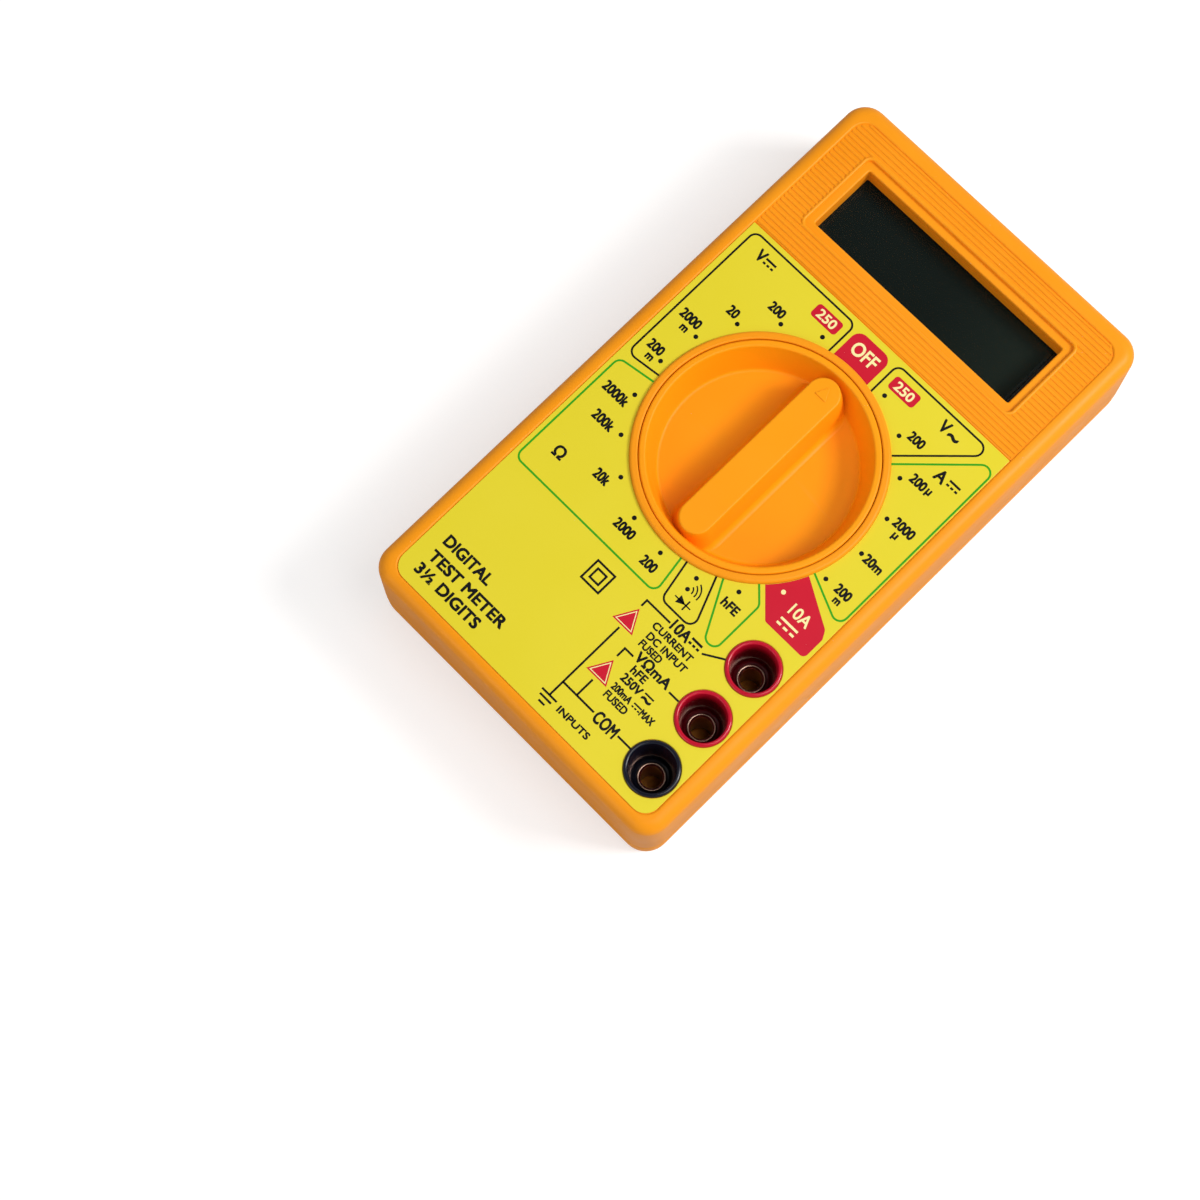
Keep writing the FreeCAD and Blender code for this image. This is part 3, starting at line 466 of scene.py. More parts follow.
# %% The blank display: nearly black, greener towards one end, where fine dust lies under the window
def blank_display(name, dark, green, start, end):
    """A switched-off display whose tint rises along X from start to end, in metres."""
    material, tree, shader = start_material(name)
    place = add_node(tree, "ShaderNodeTexCoord")
    apart = add_node(tree, "ShaderNodeSeparateXYZ")
    rise = add_node(tree, "ShaderNodeMapRange", interpolation_type="SMOOTHSTEP")
    set_inputs(rise, {"From Min": start, "From Max": end})
    tint = add_node(tree, "ShaderNodeMix", data_type="RGBA")
    set_inputs(tint, {"A": (*dark, 1), "B": (*green, 1)})
    specks = add_node(tree, "ShaderNodeGroup", node_tree=dust)
    set_inputs(specks, {"Scale": 1300, "Amount": 0.16})
    share = add_node(tree, "ShaderNodeMath", operation="MULTIPLY")
    speckled = add_node(tree, "ShaderNodeMix", data_type="RGBA")
    speckled.inputs["B"].default_value = (0.16, 0.2, 0.13, 1)
    surface = add_node(tree, "ShaderNodeGroup", node_tree=grain)
    set_inputs(surface, {"Height": 0.0, "Low Roughness": 0.17, "High Roughness": 0.19})
    wire(tree, place.outputs["Object"], apart.inputs[0])
    wire(tree, apart.outputs["X"], rise.inputs["Value"])
    wire(tree, rise.outputs["Result"], tint.inputs["Factor"])
    wire(tree, rise.outputs["Result"], share.inputs[0])
    wire(tree, specks.outputs["Mask"], share.inputs[1])
    wire(tree, share.outputs["Value"], speckled.inputs["Factor"])
    wire(tree, tint.outputs["Result"], speckled.inputs["A"])
    wire(tree, speckled.outputs["Result"], shader.inputs["Base Color"])
    wire(tree, surface.outputs["Roughness"], shader.inputs["Roughness"])
    shader.inputs["Specular IOR Level"].default_value = 0.12
    return material


display_black = blank_display("display_black", (0.0042, 0.0075, 0.0066), (0.013, 0.02, 0.015),
                              0.0, 0.022)


# %% The finishes of this meter
case_orange = finish("case_orange", (0.97, 0.34, 0.008), (0.93, 0.315, 0.006), (0.36, 0.48),
                     grain_height=0.000012, dust_amount=0.035, specular=0.2, scuffed=0.012)
knob_orange = finish("knob_orange", (0.99, 0.36, 0.004), (0.97, 0.335, 0.003), (0.38, 0.5),
                     grain_height=0.00001, dust_amount=0.03, specular=0.2, scuffed=0.02)
label_yellow = finish("label_yellow", (0.80, 0.68, 0.032), (0.775, 0.655, 0.028), (0.32, 0.44),
                      grain_height=0.000004, dust_amount=0.02, mottle_scale=12, specular=0.25)
ink_black = finish("ink_black", (0.008, 0.008, 0.008), (0.005, 0.005, 0.006), (0.35, 0.5), 0.000003,
                   dust_amount=0.0, specular=0.15)
ink_red = finish("ink_red", (0.62, 0.010, 0.032), (0.58, 0.008, 0.028), (0.32, 0.44), 0.000003,
                 dust_amount=0.02, specular=0.2)
ink_cream = finish("ink_cream", (0.95, 0.86, 0.42), (0.92, 0.82, 0.38), (0.35, 0.5), 0.000003,
                   dust_amount=0.0, specular=0.2)
ink_green = finish("ink_green", (0.035, 0.38, 0.012), (0.03, 0.34, 0.01), (0.35, 0.5), 0.000003,
                   dust_amount=0.0, specular=0.2)
sleeve_red = finish("sleeve_red", (0.56, 0.004, 0.026), (0.46, 0.003, 0.018), (0.14, 0.24), 0.000004,
                    dust_amount=0.03, coat=0.15, specular=0.3)
sleeve_black = finish("sleeve_black", (0.006, 0.007, 0.016), (0.004, 0.005, 0.012), (0.12, 0.22),
                      0.000004, dust_amount=0.05, coat=0.15, specular=0.3)
black_plastic = finish("black_plastic", (0.014, 0.014, 0.015), (0.009, 0.009, 0.01), (0.4, 0.6))
zebra_grey = finish("zebra_grey", (0.24, 0.24, 0.27), (0.1, 0.1, 0.11), (0.6, 0.8), mottle_scale=900)
board_green = finish("board_green", (0.02, 0.17, 0.05), (0.05, 0.24, 0.07), (0.25, 0.35),
                     mottle_scale=260, coat=0.3)
resin_black = finish("resin_black", (0.012, 0.012, 0.012), (0.02, 0.02, 0.02), (0.3, 0.5))
trimmer_blue = finish("trimmer_blue", (0.03, 0.14, 0.5), (0.02, 0.11, 0.42), (0.25, 0.35))
sleeve_blue = finish("capacitor_sleeve", (0.02, 0.04, 0.2), (0.015, 0.03, 0.16), (0.2, 0.35))
film_brown = finish("capacitor_film", (0.42, 0.12, 0.03), (0.36, 0.09, 0.02), (0.15, 0.3), coat=0.4)
enamel_tan = finish("resistor_enamel", (0.58, 0.42, 0.24), (0.3, 0.09, 0.03), (0.25, 0.4),
                    mottle_scale=420)
lead_red = finish("lead_red", (0.6, 0.02, 0.02), (0.52, 0.015, 0.015), (0.35, 0.5))
lead_black = finish("lead_black", (0.02, 0.02, 0.02), (0.014, 0.014, 0.014), (0.35, 0.5))
battery_dark = finish("battery_jacket", (0.09, 0.09, 0.1), (0.06, 0.06, 0.07), (0.2, 0.35), coat=0.3)
foam_grey = finish("foam", (0.13, 0.13, 0.13), (0.05, 0.05, 0.05), (0.8, 0.95), 0.0002, 900.0,
                   mottle_scale=900)
cell_glass = finish("cell_glass", (0.016, 0.028, 0.022), (0.012, 0.02, 0.017), (0.1, 0.16), 0.0,
                    dust_amount=0.0, coat=0.5)
clear_lens = clear("clear_lens", (0.02, 0.03, 0.025), 0.12)
clear_glass = clear("clear_glass", (0.7, 0.8, 0.75), 0.3)
# Painted shade and a painted reflection of the red sleeve, for the inside of the tube bores.
bore_shade_paint = finish("tube_bore", (0.45, 0.075, 0.035), (0.32, 0.045, 0.02), (0.12, 0.25), 0.000004,
                    dust_amount=0.0, specular=0.9)
tinned = metal("tinned_brass", (0.74, 0.5, 0.4), (0.5, 0.27, 0.19), (0.16, 0.32), (1, 1, 0.1))
brass = metal("contact_brass", (0.8, 0.6, 0.26), (0.66, 0.46, 0.18))
plated = metal("plated_steel", (0.7, 0.7, 0.72), (0.5, 0.5, 0.53), (0.25, 0.4), (1, 1, 1), 900)
spring_wire = metal("spring_steel", (0.45, 0.45, 0.47), (0.3, 0.3, 0.32), (0.2, 0.35), (1, 1, 1))
shunt_alloy = metal("shunt_wire", (0.62, 0.42, 0.3), (0.5, 0.32, 0.22))
print("finishes made:", len(bpy.data.materials))

# %% [markdown]
# ## Placing pieces
# Every piece says which body it moves with and which CAD nodes it stands for. One helper puts it in its
# body, gives it its finish and hides those nodes, so that no piece is forgotten.


# %% Placing helper
def place_piece(thing, material, body, slot, *nodes_replaced, second=None):
    """Gives a finished piece its materials and its body, and hides the CAD nodes that it stands for; the
    slot is not used.
    """
    thing.data.materials.append(material)
    if second:
        thing.data.materials.append(second)
    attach(thing, body)
    if nodes_replaced:
        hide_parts(*nodes_replaced)


# %% [markdown]
# ## Front shell: walls and rim
# The front of the case is one moulding. Its wall and rim have a constant section that runs round a
# rounded rectangle, so the section is swept by stacking rings: each ring is a rectangle with its own
# size, corner radius and height. The draft angle, the soft outer edge and the small edge at the
# parting line are just more rings. The face inside the rim is made from flat plates with holes.

# %% Walls and rim
WALL = 2.0
DRAFT = math.tan(math.radians(1))
CORNER = 4.8
EDGE_ROUND = 2.4
RECESS_WIDTH = round(label_high[0] - label_low[0], 3)
RECESS_LENGTH = 119.2
RECESS_MIDDLE = -0.4
RECESS_CORNER = 3.0
FACE_BACK = 21.5
ARC_STEPS = 10


def wall_ring(inset, height, steps=10):
    """The case's outer outline, shrunk on all sides by an inset."""
    size = (case_width - 2 * inset, case_length - 2 * inset)
    return level(rectangle(*size, max(CORNER - inset, 0.4), steps=steps), height)


def recess_ring(wider, height, steps=10):
    """The outline of the recess in the face, grown on all sides."""
    size = (RECESS_WIDTH + 2 * wider, RECESS_LENGTH + 2 * wider)
    return level(rectangle(*size, RECESS_CORNER + wider, (0, RECESS_MIDDLE), steps), height)


PART_EDGE = 0.35
wall_top = face_top - EDGE_ROUND
top_inset = (wall_top - parting) * DRAFT
rings = [wall_ring(WALL, parting), wall_ring(PART_EDGE, parting), wall_ring(0.1, parting + 0.1)]
rings.append(wall_ring(0.01, parting + PART_EDGE))
for angle in quarter(ARC_STEPS):
    inset = top_inset + EDGE_ROUND * (1 - math.cos(angle))
    rings.append(wall_ring(inset, wall_top + EDGE_ROUND * math.sin(angle)))
RIM_EDGE = 0.35
for angle in quarter(4):
    rings.append(recess_ring(RIM_EDGE * (1 - math.sin(angle)),
                             face_top - RIM_EDGE * (1 - math.cos(angle))))
rings.append(recess_ring(0, FACE_BACK))
rings.append(wall_ring(WALL, FACE_BACK))
front_parts = [stack(rings, closed=True)]
print("the front wall is", len(rings), "rings of", len(rings[0]), "points")

# %% [markdown]
# ### The face inside the rim
# Behind the label the face is a plain plate with a hole for the knob and three for the sockets. The
# display end sits lower and has the window cut in it, with walls that run down to the lens. A second
# plate on top of it leaves a smooth sunk border round the window, edged by a fine raised bead. The
# knob turns inside a raised collar, which is a turned ring with soft edges.

# %% Face plates, window well and collar
COLLAR_OUTER = 23.1
KNOB_HOLE = 21.7
COLLAR_TOP = round(front_high[2], 3)
SLEEVE_RADIUS = (sleeve_high[0] - sleeve_low[0]) / 2
SOCKETS = {"ten_amp": sleeve_red, "volt_ohm": sleeve_red, "common": sleeve_black}
WINDOW = (47.8, 14.3, 0.4)
SURROUND = (51.4, 18.1, 1.4)
WINDOW_MIDDLE = (0, (glass_low[1] + glass_high[1]) / 2)
PANEL_FLOOR = 23.7
SURROUND_FLOOR = 23.2
LABEL_FLOOR = round(label_low[2], 3)
LABEL_END = label_high[1]


def socket_middle(name):
    """Where a socket stands, read from its CAD sleeve."""
    low, high = box_mm(f"socket_sleeve_{name}")
    return (low[0] + high[0]) / 2, (low[1] + high[1]) / 2


def sharp_box(left, low, right, high):
    """A rectangle with square corners."""
    return [(left, low), (right, low), (right, high), (left, high)]


half_recess = RECESS_WIDTH / 2
recess_low = RECESS_MIDDLE - RECESS_LENGTH / 2
recess_high = RECESS_MIDDLE + RECESS_LENGTH / 2
socket_holes = [circle(SLEEVE_RADIUS, socket_middle(name), 48) for name in SOCKETS]
UNDER_RIM = 0.6
OVERLAP = 0.4
WELL_WALL = 1.4
edge_x = half_recess + UNDER_RIM
label_end_plan = sharp_box(-edge_x, recess_low - UNDER_RIM, edge_x, LABEL_END)
display_end_plan = sharp_box(-edge_x, LABEL_END, edge_x, recess_high + UNDER_RIM)
window_hole = [rectangle(*WINDOW, WINDOW_MIDDLE)]
surround_hole = [rectangle(*SURROUND, WINDOW_MIDDLE)]
knob_hole = circle(KNOB_HOLE + 0.1, steps=96)
front_parts.append(plate(label_end_plan, FACE_BACK, LABEL_FLOOR - HAIR, [knob_hole] + socket_holes))
front_parts.append(plate(display_end_plan, FACE_BACK, SURROUND_FLOOR, window_hole, edge=0.3, steps=3))
front_parts.append(plate(display_end_plan, SURROUND_FLOOR - OVERLAP, PANEL_FLOOR, surround_hole,
                         edge=0.38, steps=4))
bead_outer = rectangle(SURROUND[0] + 1.0, SURROUND[1] + 1.0, SURROUND[2] + 0.5, WINDOW_MIDDLE)
bead_inner = rectangle(SURROUND[0] - 0.6, SURROUND[1] - 0.6, SURROUND[2] - 0.3, WINDOW_MIDDLE)
front_parts.append(plate(bead_outer, SURROUND_FLOOR - OVERLAP, face_top - HAIR, [bead_inner],
                         edge=0.39, steps=4))
well_outer = rectangle(WINDOW[0] + 2 * WELL_WALL, WINDOW[1] + 2 * WELL_WALL, 1.2, WINDOW_MIDDLE)
front_parts.append(plate(well_outer, glass_high[2], FACE_BACK + 0.1, window_hole))
collar = round_corners([(KNOB_HOLE, FACE_BACK, 0), (COLLAR_OUTER, FACE_BACK, 0),
                        (COLLAR_OUTER, COLLAR_TOP, 0.55), (KNOB_HOLE - 0.09, COLLAR_TOP, 0.3)], steps=6)
front_parts.append(lathe(collar, steps=160))
print("front shell so far:", len(front_parts), "parts")

# %% [markdown]
# ### The ribbed panel
# The display end is lined across with fine ribs one millimetre apart. That is a shape which repeats by
# a rule, so it's a Geometry Nodes tree: a line of points, one rib instanced on each, then realised.
# Near the panel's round corners the ribs get shorter, which the tree works out from each rib's place.
# The ribs beside the window are shorter ones, so the same tree is used four times.


# %% How every tree here starts, ends and is run
def growing_tree(name, **inputs):
    """A Geometry Nodes tree with its inputs named and typed, ready for its nodes."""
    tree = bpy.data.node_groups.new(name, "GeometryNodeTree")
    face = tree.interface
    face.new_socket(name="Geometry", in_out="INPUT", socket_type="NodeSocketGeometry")
    for label, kind in inputs.items():
        face.new_socket(name=label.replace("_", " "), in_out="INPUT", socket_type=f"NodeSocket{kind}")
    face.new_socket(name="Material", in_out="INPUT", socket_type="NodeSocketMaterial")
    face.new_socket(name="Geometry", in_out="OUTPUT", socket_type="NodeSocketGeometry")
    return tree, tree.nodes.new("NodeGroupInput"), tree.nodes.new("NodeGroupOutput")


def realise(tree, place, entry, leave):
    """Makes the instances a real mesh, gives it the material and ends the tree."""
    real = add_node(tree, "GeometryNodeRealizeInstances")
    paint = add_node(tree, "GeometryNodeSetMaterial")
    wire(tree, place.outputs[0], real.inputs[0])
    wire(tree, real.outputs[0], paint.inputs["Geometry"])
    wire(tree, entry.outputs["Material"], paint.inputs["Material"])
    wire(tree, paint.outputs[0], leave.inputs[0])


def grow(tree, spots=(), **values):
    """Runs a Geometry Nodes tree on bare points with named values; gives back points and faces."""
    seed = bpy.data.meshes.new("holder")
    seed.from_pydata([tuple(c * MM for c in spot) for spot in spots], [], [])
    holder = bpy.data.objects.new("holder", seed)
    bpy.context.scene.collection.objects.link(holder)
    modifier = holder.modifiers.new("grow", "NODES")
    modifier.node_group = tree
    for item in tree.interface.items_tree:
        key = item.name.replace(" ", "_")
        if item.in_out == "INPUT" and key in values:
            modifier[item.identifier] = values[key]
    graph = bpy.context.evaluated_depsgraph_get()
    mesh = bpy.data.meshes.new_from_object(holder.evaluated_get(graph))
    holder.modifiers.remove(modifier)
    points = [tuple(c / MM for c in v.co) for v in mesh.vertices]
    faces = [list(p.vertices) for p in mesh.polygons]
    bpy.data.objects.remove(holder)
    return points, faces


# %% The rib tree
def rib_tree():
    """Ribs along X on a line of points along Y, with ends drawn in round the panel's corners."""
    tree, entry, leave = growing_tree(
        "panel_ribs", Count="Int", Pitch="Float", Start_Y="Float", Centre_X="Float", Length="Float",
        Width="Float", Height="Float", Floor_Z="Float", Corner="Float", Panel_End_Y="Float")

    def maths(operation, first, second=None):
        node = add_node(tree, "ShaderNodeMath", operation=operation)
        for socket, source in zip(node.inputs, (first, second)):
            if isinstance(source, (int, float)):
                socket.default_value = source
            elif source is not None:
                wire(tree, source, socket)
        return node.outputs[0]

    def vector(x=0.0, y=0.0, z=0.0):
        node = add_node(tree, "ShaderNodeCombineXYZ")
        for socket, source in zip(node.inputs, (x, y, z)):
            if isinstance(source, (int, float)):
                socket.default_value = source
            else:
                wire(tree, source, socket)
        return node.outputs[0]

    line = add_node(tree, "GeometryNodeMeshLine", mode="OFFSET")
    wire(tree, entry.outputs["Count"], line.inputs["Count"])
    wire(tree, vector(entry.outputs["Centre X"], entry.outputs["Start Y"], entry.outputs["Floor Z"]),
         line.inputs["Start Location"])
    wire(tree, vector(y=entry.outputs["Pitch"]), line.inputs["Offset"])
    rib = add_node(tree, "GeometryNodeMeshCylinder")
    set_inputs(rib, {"Vertices": 12, "Radius": 1.0, "Depth": 1.0})
    spot = add_node(tree, "GeometryNodeInputPosition")
    apart = add_node(tree, "ShaderNodeSeparateXYZ")
    wire(tree, spot.outputs[0], apart.inputs[0])
    from_end = maths("SUBTRACT", entry.outputs["Panel End Y"], apart.outputs["Y"])
    into_corner = maths("MAXIMUM", maths("SUBTRACT", entry.outputs["Corner"], from_end), 0.0)
    squared = maths("SUBTRACT", maths("MULTIPLY", entry.outputs["Corner"], entry.outputs["Corner"]),
                    maths("MULTIPLY", into_corner, into_corner))
    drawn_in = maths("SUBTRACT", entry.outputs["Corner"], maths("SQRT", maths("MAXIMUM", squared, 0.0)))
    length = maths("SUBTRACT", entry.outputs["Length"], maths("MULTIPLY", drawn_in, 2.0))
    place = add_node(tree, "GeometryNodeInstanceOnPoints")
    wire(tree, line.outputs["Mesh"], place.inputs["Points"])
    wire(tree, rib.outputs["Mesh"], place.inputs["Instance"])
    place.inputs["Rotation"].default_value = (0, math.pi / 2, 0)
    wire(tree, vector(entry.outputs["Height"], maths("DIVIDE", entry.outputs["Width"], 2.0), length),
         place.inputs["Scale"])
    realise(tree, place, entry, leave)
    return tree


# %% Ribs above, below and beside the window
RIB_PITCH = 0.98
RIB_WIDTH = 0.56
RIB_HEIGHT = 0.24
ribs = rib_tree()
surround_low = WINDOW_MIDDLE[1] - SURROUND[1] / 2
surround_high = WINDOW_MIDDLE[1] + SURROUND[1] / 2
side_length = half_recess - SURROUND[0] / 2
rows = [LABEL_END + 0.7 + RIB_PITCH * n for n in range(29)]
rows = [y for y in rows if y < recess_high - 0.3]
stretches = [
    ([y for y in rows if y < surround_low], 0, 2 * half_recess - 0.5),
    ([y for y in rows if y > surround_high], 0, 2 * half_recess - 0.5),
]
beside = [y for y in rows if surround_low <= y <= surround_high]
for side in (-1, 1):
    stretches.append((beside, side * (half_recess + SURROUND[0] / 2) / 2, side_length - 0.5))
for ys, centre, length in stretches:
    front_parts.append(grow(
        ribs, Count=len(ys), Pitch=RIB_PITCH * MM, Start_Y=ys[0] * MM, Centre_X=centre * MM,
        Length=length * MM, Width=RIB_WIDTH * MM, Height=RIB_HEIGHT * MM,
        Floor_Z=(PANEL_FLOOR - HAIR) * MM, Corner=RECESS_CORNER * MM, Panel_End_Y=recess_high * MM,
        Material=case_orange))
print("ribs:", sum(len(ys) for ys, _, _ in stretches))
place_piece(assemble("front_case", front_parts), case_orange, "case", "case_plastic", "front_shell")

# %% [markdown]
# ## Back shell
# The back is a shallow tray with the same plan. Its wall and floor are one stack of rings, capped
# inside and out, and a Boolean drills the two holes where the screws are sunk. A turned boss lines each
# hole. The two shells meet in a fine groove, which comes from the small round edge that each has at
# the parting line.


# %% Cutting with a Boolean
def cut_out(blank, cutters):
    """Cuts the cutters out of a blank with Boolean modifiers; gives back points and faces."""
    for cutter in cutters:
        cut = blank.modifiers.new(cutter.name, "BOOLEAN")
        cut.operation = "DIFFERENCE"
        cut.solver = "EXACT"
        cut.object = cutter
    bpy.context.view_layer.update()
    graph = bpy.context.evaluated_depsgraph_get()
    mesh = bpy.data.meshes.new_from_object(blank.evaluated_get(graph))
    points = [tuple(c / MM for c in v.co) for v in mesh.vertices]
    faces = [list(p.vertices) for p in mesh.polygons]
    print(f"{blank.name}: {len(blank.data.polygons)} faces before the cut, {len(faces)} after")
    for spent in [blank] + cutters:
        bpy.data.objects.remove(spent)
    return points, faces


def post(radius, spot, low, high, steps=40):
    """A plain round post, used as a cutter."""
    return stack([level(circle(radius, spot, steps), low), level(circle(radius, spot, steps), high)])


# %% Back tray
BACK_ROUND = 2.4
BACK_FLOOR = 2.0
HEAD_RADIUS = 2.6
screws_low, screws_high = box_mm("case_screws")
SCREWS = [(side * (screws_high[0] - HEAD_RADIUS), screws_low[1] + HEAD_RADIUS) for side in (-1, 1)]
COUNTERBORE = 2.9
SCREW_SEAT = 4.0
BOSS_RADIUS = 3.8
BOSS_TOP = 9.6
SHANK_HOLE = 1.55
LIP_TOP = 8.3
LIP_OUTSIDE = 2.2
LIP_INSIDE = 3.1
back_top = parting - HAIR
rings = [wall_ring(LIP_INSIDE, BACK_FLOOR), wall_ring(LIP_INSIDE, LIP_TOP),
         wall_ring(LIP_OUTSIDE, LIP_TOP), wall_ring(LIP_OUTSIDE, back_top),
         wall_ring(PART_EDGE, back_top), wall_ring(0.1, back_top - 0.1),
         wall_ring(0.01, parting - PART_EDGE)]
low_inset = (parting - BACK_ROUND) * DRAFT
for angle in quarter(ARC_STEPS):
    rings.append(wall_ring(low_inset + BACK_ROUND * (1 - math.cos(angle)),
                           BACK_ROUND * (1 - math.sin(angle))))
tray = assemble("tray_blank", [stack(rings)])
drills = [assemble(f"drill_{n}", [post(COUNTERBORE + 0.2, spot, -1, BACK_FLOOR + 1)])
          for n, spot in enumerate(SCREWS)]
back_parts = [cut_out(tray, drills)]
for spot in SCREWS:
    boss = round_corners([
        (COUNTERBORE, HAIR, 0.12), (COUNTERBORE + 0.6, HAIR, 0), (COUNTERBORE + 0.6, 1.6, 0),
        (BOSS_RADIUS, 1.8, 0), (BOSS_RADIUS, BOSS_TOP, 0.2), (SHANK_HOLE, BOSS_TOP, 0.1),
        (SHANK_HOLE, SCREW_SEAT, 0), (COUNTERBORE, SCREW_SEAT, 0.1),
    ], steps=3)
    back_parts.append(lathe(boss, spot, 40))
place_piece(assemble("back_case", back_parts), case_orange, "case", "case_plastic", "back_shell")

# %% [markdown]
# ## Case screws
# Two self-tapping screws sit deep in the back. The head is turned, and its crossed slot is cut with a
# Boolean modifier, the same as a punch would form it. A Geometry Nodes tree then puts the one screw on
# every point that it's given, so a case with more screws would only need more points.


# %% A tree that copies a pattern piece onto points
def copies_tree():
    """A pattern piece on each point, realised and given its material."""
    tree, entry, leave = growing_tree("copies", Pattern="Object")
    pattern = add_node(tree, "GeometryNodeObjectInfo")
    place = add_node(tree, "GeometryNodeInstanceOnPoints")
    wire(tree, entry.outputs["Geometry"], place.inputs["Points"])
    wire(tree, entry.outputs["Pattern"], pattern.inputs["Object"])
    wire(tree, pattern.outputs["Geometry"], place.inputs["Instance"])
    realise(tree, place, entry, leave)
    return tree


# %% One screw, then the pair
SHANK = 1.4
SLOT_WIDTH = 0.7
SLOT_LENGTH = 3.0
head_low = round(screws_low[2], 3)
tip = round(screws_high[2], 3)
profile = round_corners([(0, head_low, 0), (HEAD_RADIUS, head_low, 0.5), (HEAD_RADIUS, SCREW_SEAT, 0),
                         (SHANK, SCREW_SEAT, 0), (SHANK, tip - 1.5, 0), (0, tip, 0)],
                        closed=False, steps=4)
screw = assemble("screw_blank", [lathe(profile, steps=36, closed=False)])
arms = [stack([level(rectangle(w, l, 0.1, steps=2), head_low - 0.5),
               level(rectangle(w * 0.7, l * 0.8, 0.1, steps=2), head_low + 1.0)])
        for w, l in ((SLOT_WIDTH, SLOT_LENGTH), (SLOT_LENGTH, SLOT_WIDTH))]
slotted = cut_out(screw, [assemble(f"slot_{n}", [arm]) for n, arm in enumerate(arms)])
pattern = assemble("screw_pattern", [slotted])
pair = grow(copies_tree(), [(x, y, 0) for x, y in SCREWS], Pattern=pattern, Material=plated)
bpy.data.objects.remove(pattern)
place_piece(assemble("sunk_screws", [pair]), plated, "case", "plated_steel", "case_screws")

# %% [markdown]
# ## Face label
# The label is a thin yellow foil in its own recess, open round the knob and the sockets. It's a plate
# with holes, a hair smaller than the recess so that a fine dark line shows round it, as on the real one.

# %% Label foil
LABEL_GAP = 0.08
left = -half_recess + LABEL_GAP
label_outline = round_corners([
    (left, recess_low + LABEL_GAP, RECESS_CORNER), (-left, recess_low + LABEL_GAP, RECESS_CORNER),
    (-left, LABEL_END - LABEL_GAP, 0.15), (left, LABEL_END - LABEL_GAP, 0.15),
], steps=8)
label_holes = [circle(COLLAR_OUTER + HAIR, steps=160)]
label_holes += [circle(SLEEVE_RADIUS + 0.08, socket_middle(name), 64) for name in SOCKETS]
foil = plate(label_outline, LABEL_FLOOR - HAIR / 2, label_top, label_holes, 0.05, 1)
place_piece(assemble("face_label", [foil]), label_yellow, "case", "label_foil", "faceplate_label")

# %% [markdown]
# ## Print on the label
# Screen print is ink on top of the foil. Each mark is a very thin solid of its own colour: strokes with
# round corners for the range outlines, small discs for the positions, and plain generic lettering. The
# letters are fitted to the box that they fill on a dial like this, which also gives the narrow face
# that such labels use. Each colour becomes one piece.

# %% Ink helpers
INK_LOW = label_top - 0.004
INK_HIGH = label_top + 0.016
LINE = 0.37
LAYER = 0.0015
ink = {"black": [], "red": [], "cream": [], "green": []}
INK_LIFT = {"black": 0.0, "red": 0.0, "green": 0.0, "cream": 0.012}


def print_shape(colour, outline, holes=()):
    """One flat printed shape; cream lies over the others."""
    lift = INK_LIFT[colour]
    ink[colour].append(plate(outline, INK_LOW + lift, INK_HIGH + lift, holes))


def print_stroke(colour, corners, width=LINE, radius=1.5):
    """A line of even width along corners, each rounded."""
    path = round_corners([(x, y, radius) for x, y in corners], closed=False, steps=7)
    spots = [Vector(p) for p in path]
    sides = []
    for side in (-1, 1):
        row = []
        for n, spot in enumerate(spots):
            before = (spot - spots[n - 1]).normalized() if n else (spots[1] - spot).normalized()
            after = (spots[n + 1] - spot).normalized() if n < len(spots) - 1 else before
            way = (before + after).normalized()
            normal = Vector((-way.y, way.x))
            widen = 1 / max(normal.dot(Vector((-before.y, before.x))), 0.3)
            row.append(tuple(spot + normal * (side * width / 2 * widen)))
        sides.append(row)
    print_shape(colour, sides[0] + sides[1][::-1])


def print_text(colour, words, centre, size, weight=0.088):
    """Lettering that fills a box about its centre.

    It's laid down four times, each a little to one side, which makes it bolder.
    """
    letters = bpy.data.curves.new("letters", "FONT")
    letters.body = words
    letters.extrude = 0.5
    letters.resolution_u = 4
    points, faces = plain_mesh(letters)
    bpy.data.curves.remove(letters)
    low = [min(p[a] for p in points) for a in (0, 1)]
    high = [max(p[a] for p in points) for a in (0, 1)]
    scale = [(size[a] - 2 * weight) / (high[a] - low[a]) for a in (0, 1)]
    middle = [(low[a] + high[a]) / 2 for a in (0, 1)]
    shifts = [(-weight, -weight), (weight, -weight), (weight, weight), (-weight, weight)]
    for number, shift in enumerate(shifts):
        base = INK_LOW + INK_LIFT[colour] + number * LAYER
        top = INK_HIGH + INK_LIFT[colour] + number * LAYER
        placed = [(centre[0] + shift[0] + (x - middle[0]) * scale[0],
                   centre[1] + shift[1] + (y - middle[1]) * scale[1],
                   top if z > 0 else base) for x, y, z in points]
        ink[colour].append((placed, faces))


def print_dc(colour, left, right, y, gap=0.9, width=0.42):
    """The direct-current sign: a bar over three dashes."""
    print_stroke(colour, [(left, y + gap / 2), (right, y + gap / 2)], width, 0)
    dash = (right - left) / 4.2
    for n in range(3):
        start = left + n * (right - left - dash) / 2
        print_stroke(colour, [(start, y - gap / 2), (start + dash, y - gap / 2)], width, 0)


print(f"ink lies between {INK_LOW:.3f} and {INK_HIGH:.3f} mm")

# %% The twenty positions
DOT_CIRCLE = 24.85
DOT_RADIUS = 0.44
POSITIONS = 20
TEN_AMP_POSITION = 13


def dial_spot(position, radius=DOT_CIRCLE):
    """A place on the dial, counted anticlockwise from OFF at the top."""
    angle = math.radians(90 + 360 / POSITIONS * position)
    return radius * math.cos(angle), radius * math.sin(angle)


for position in range(1, POSITIONS):
    colour = "cream" if position == TEN_AMP_POSITION else "black"
    print_shape(colour, circle(DOT_RADIUS, dial_spot(position), 20))
print("dots:", POSITIONS - 1)

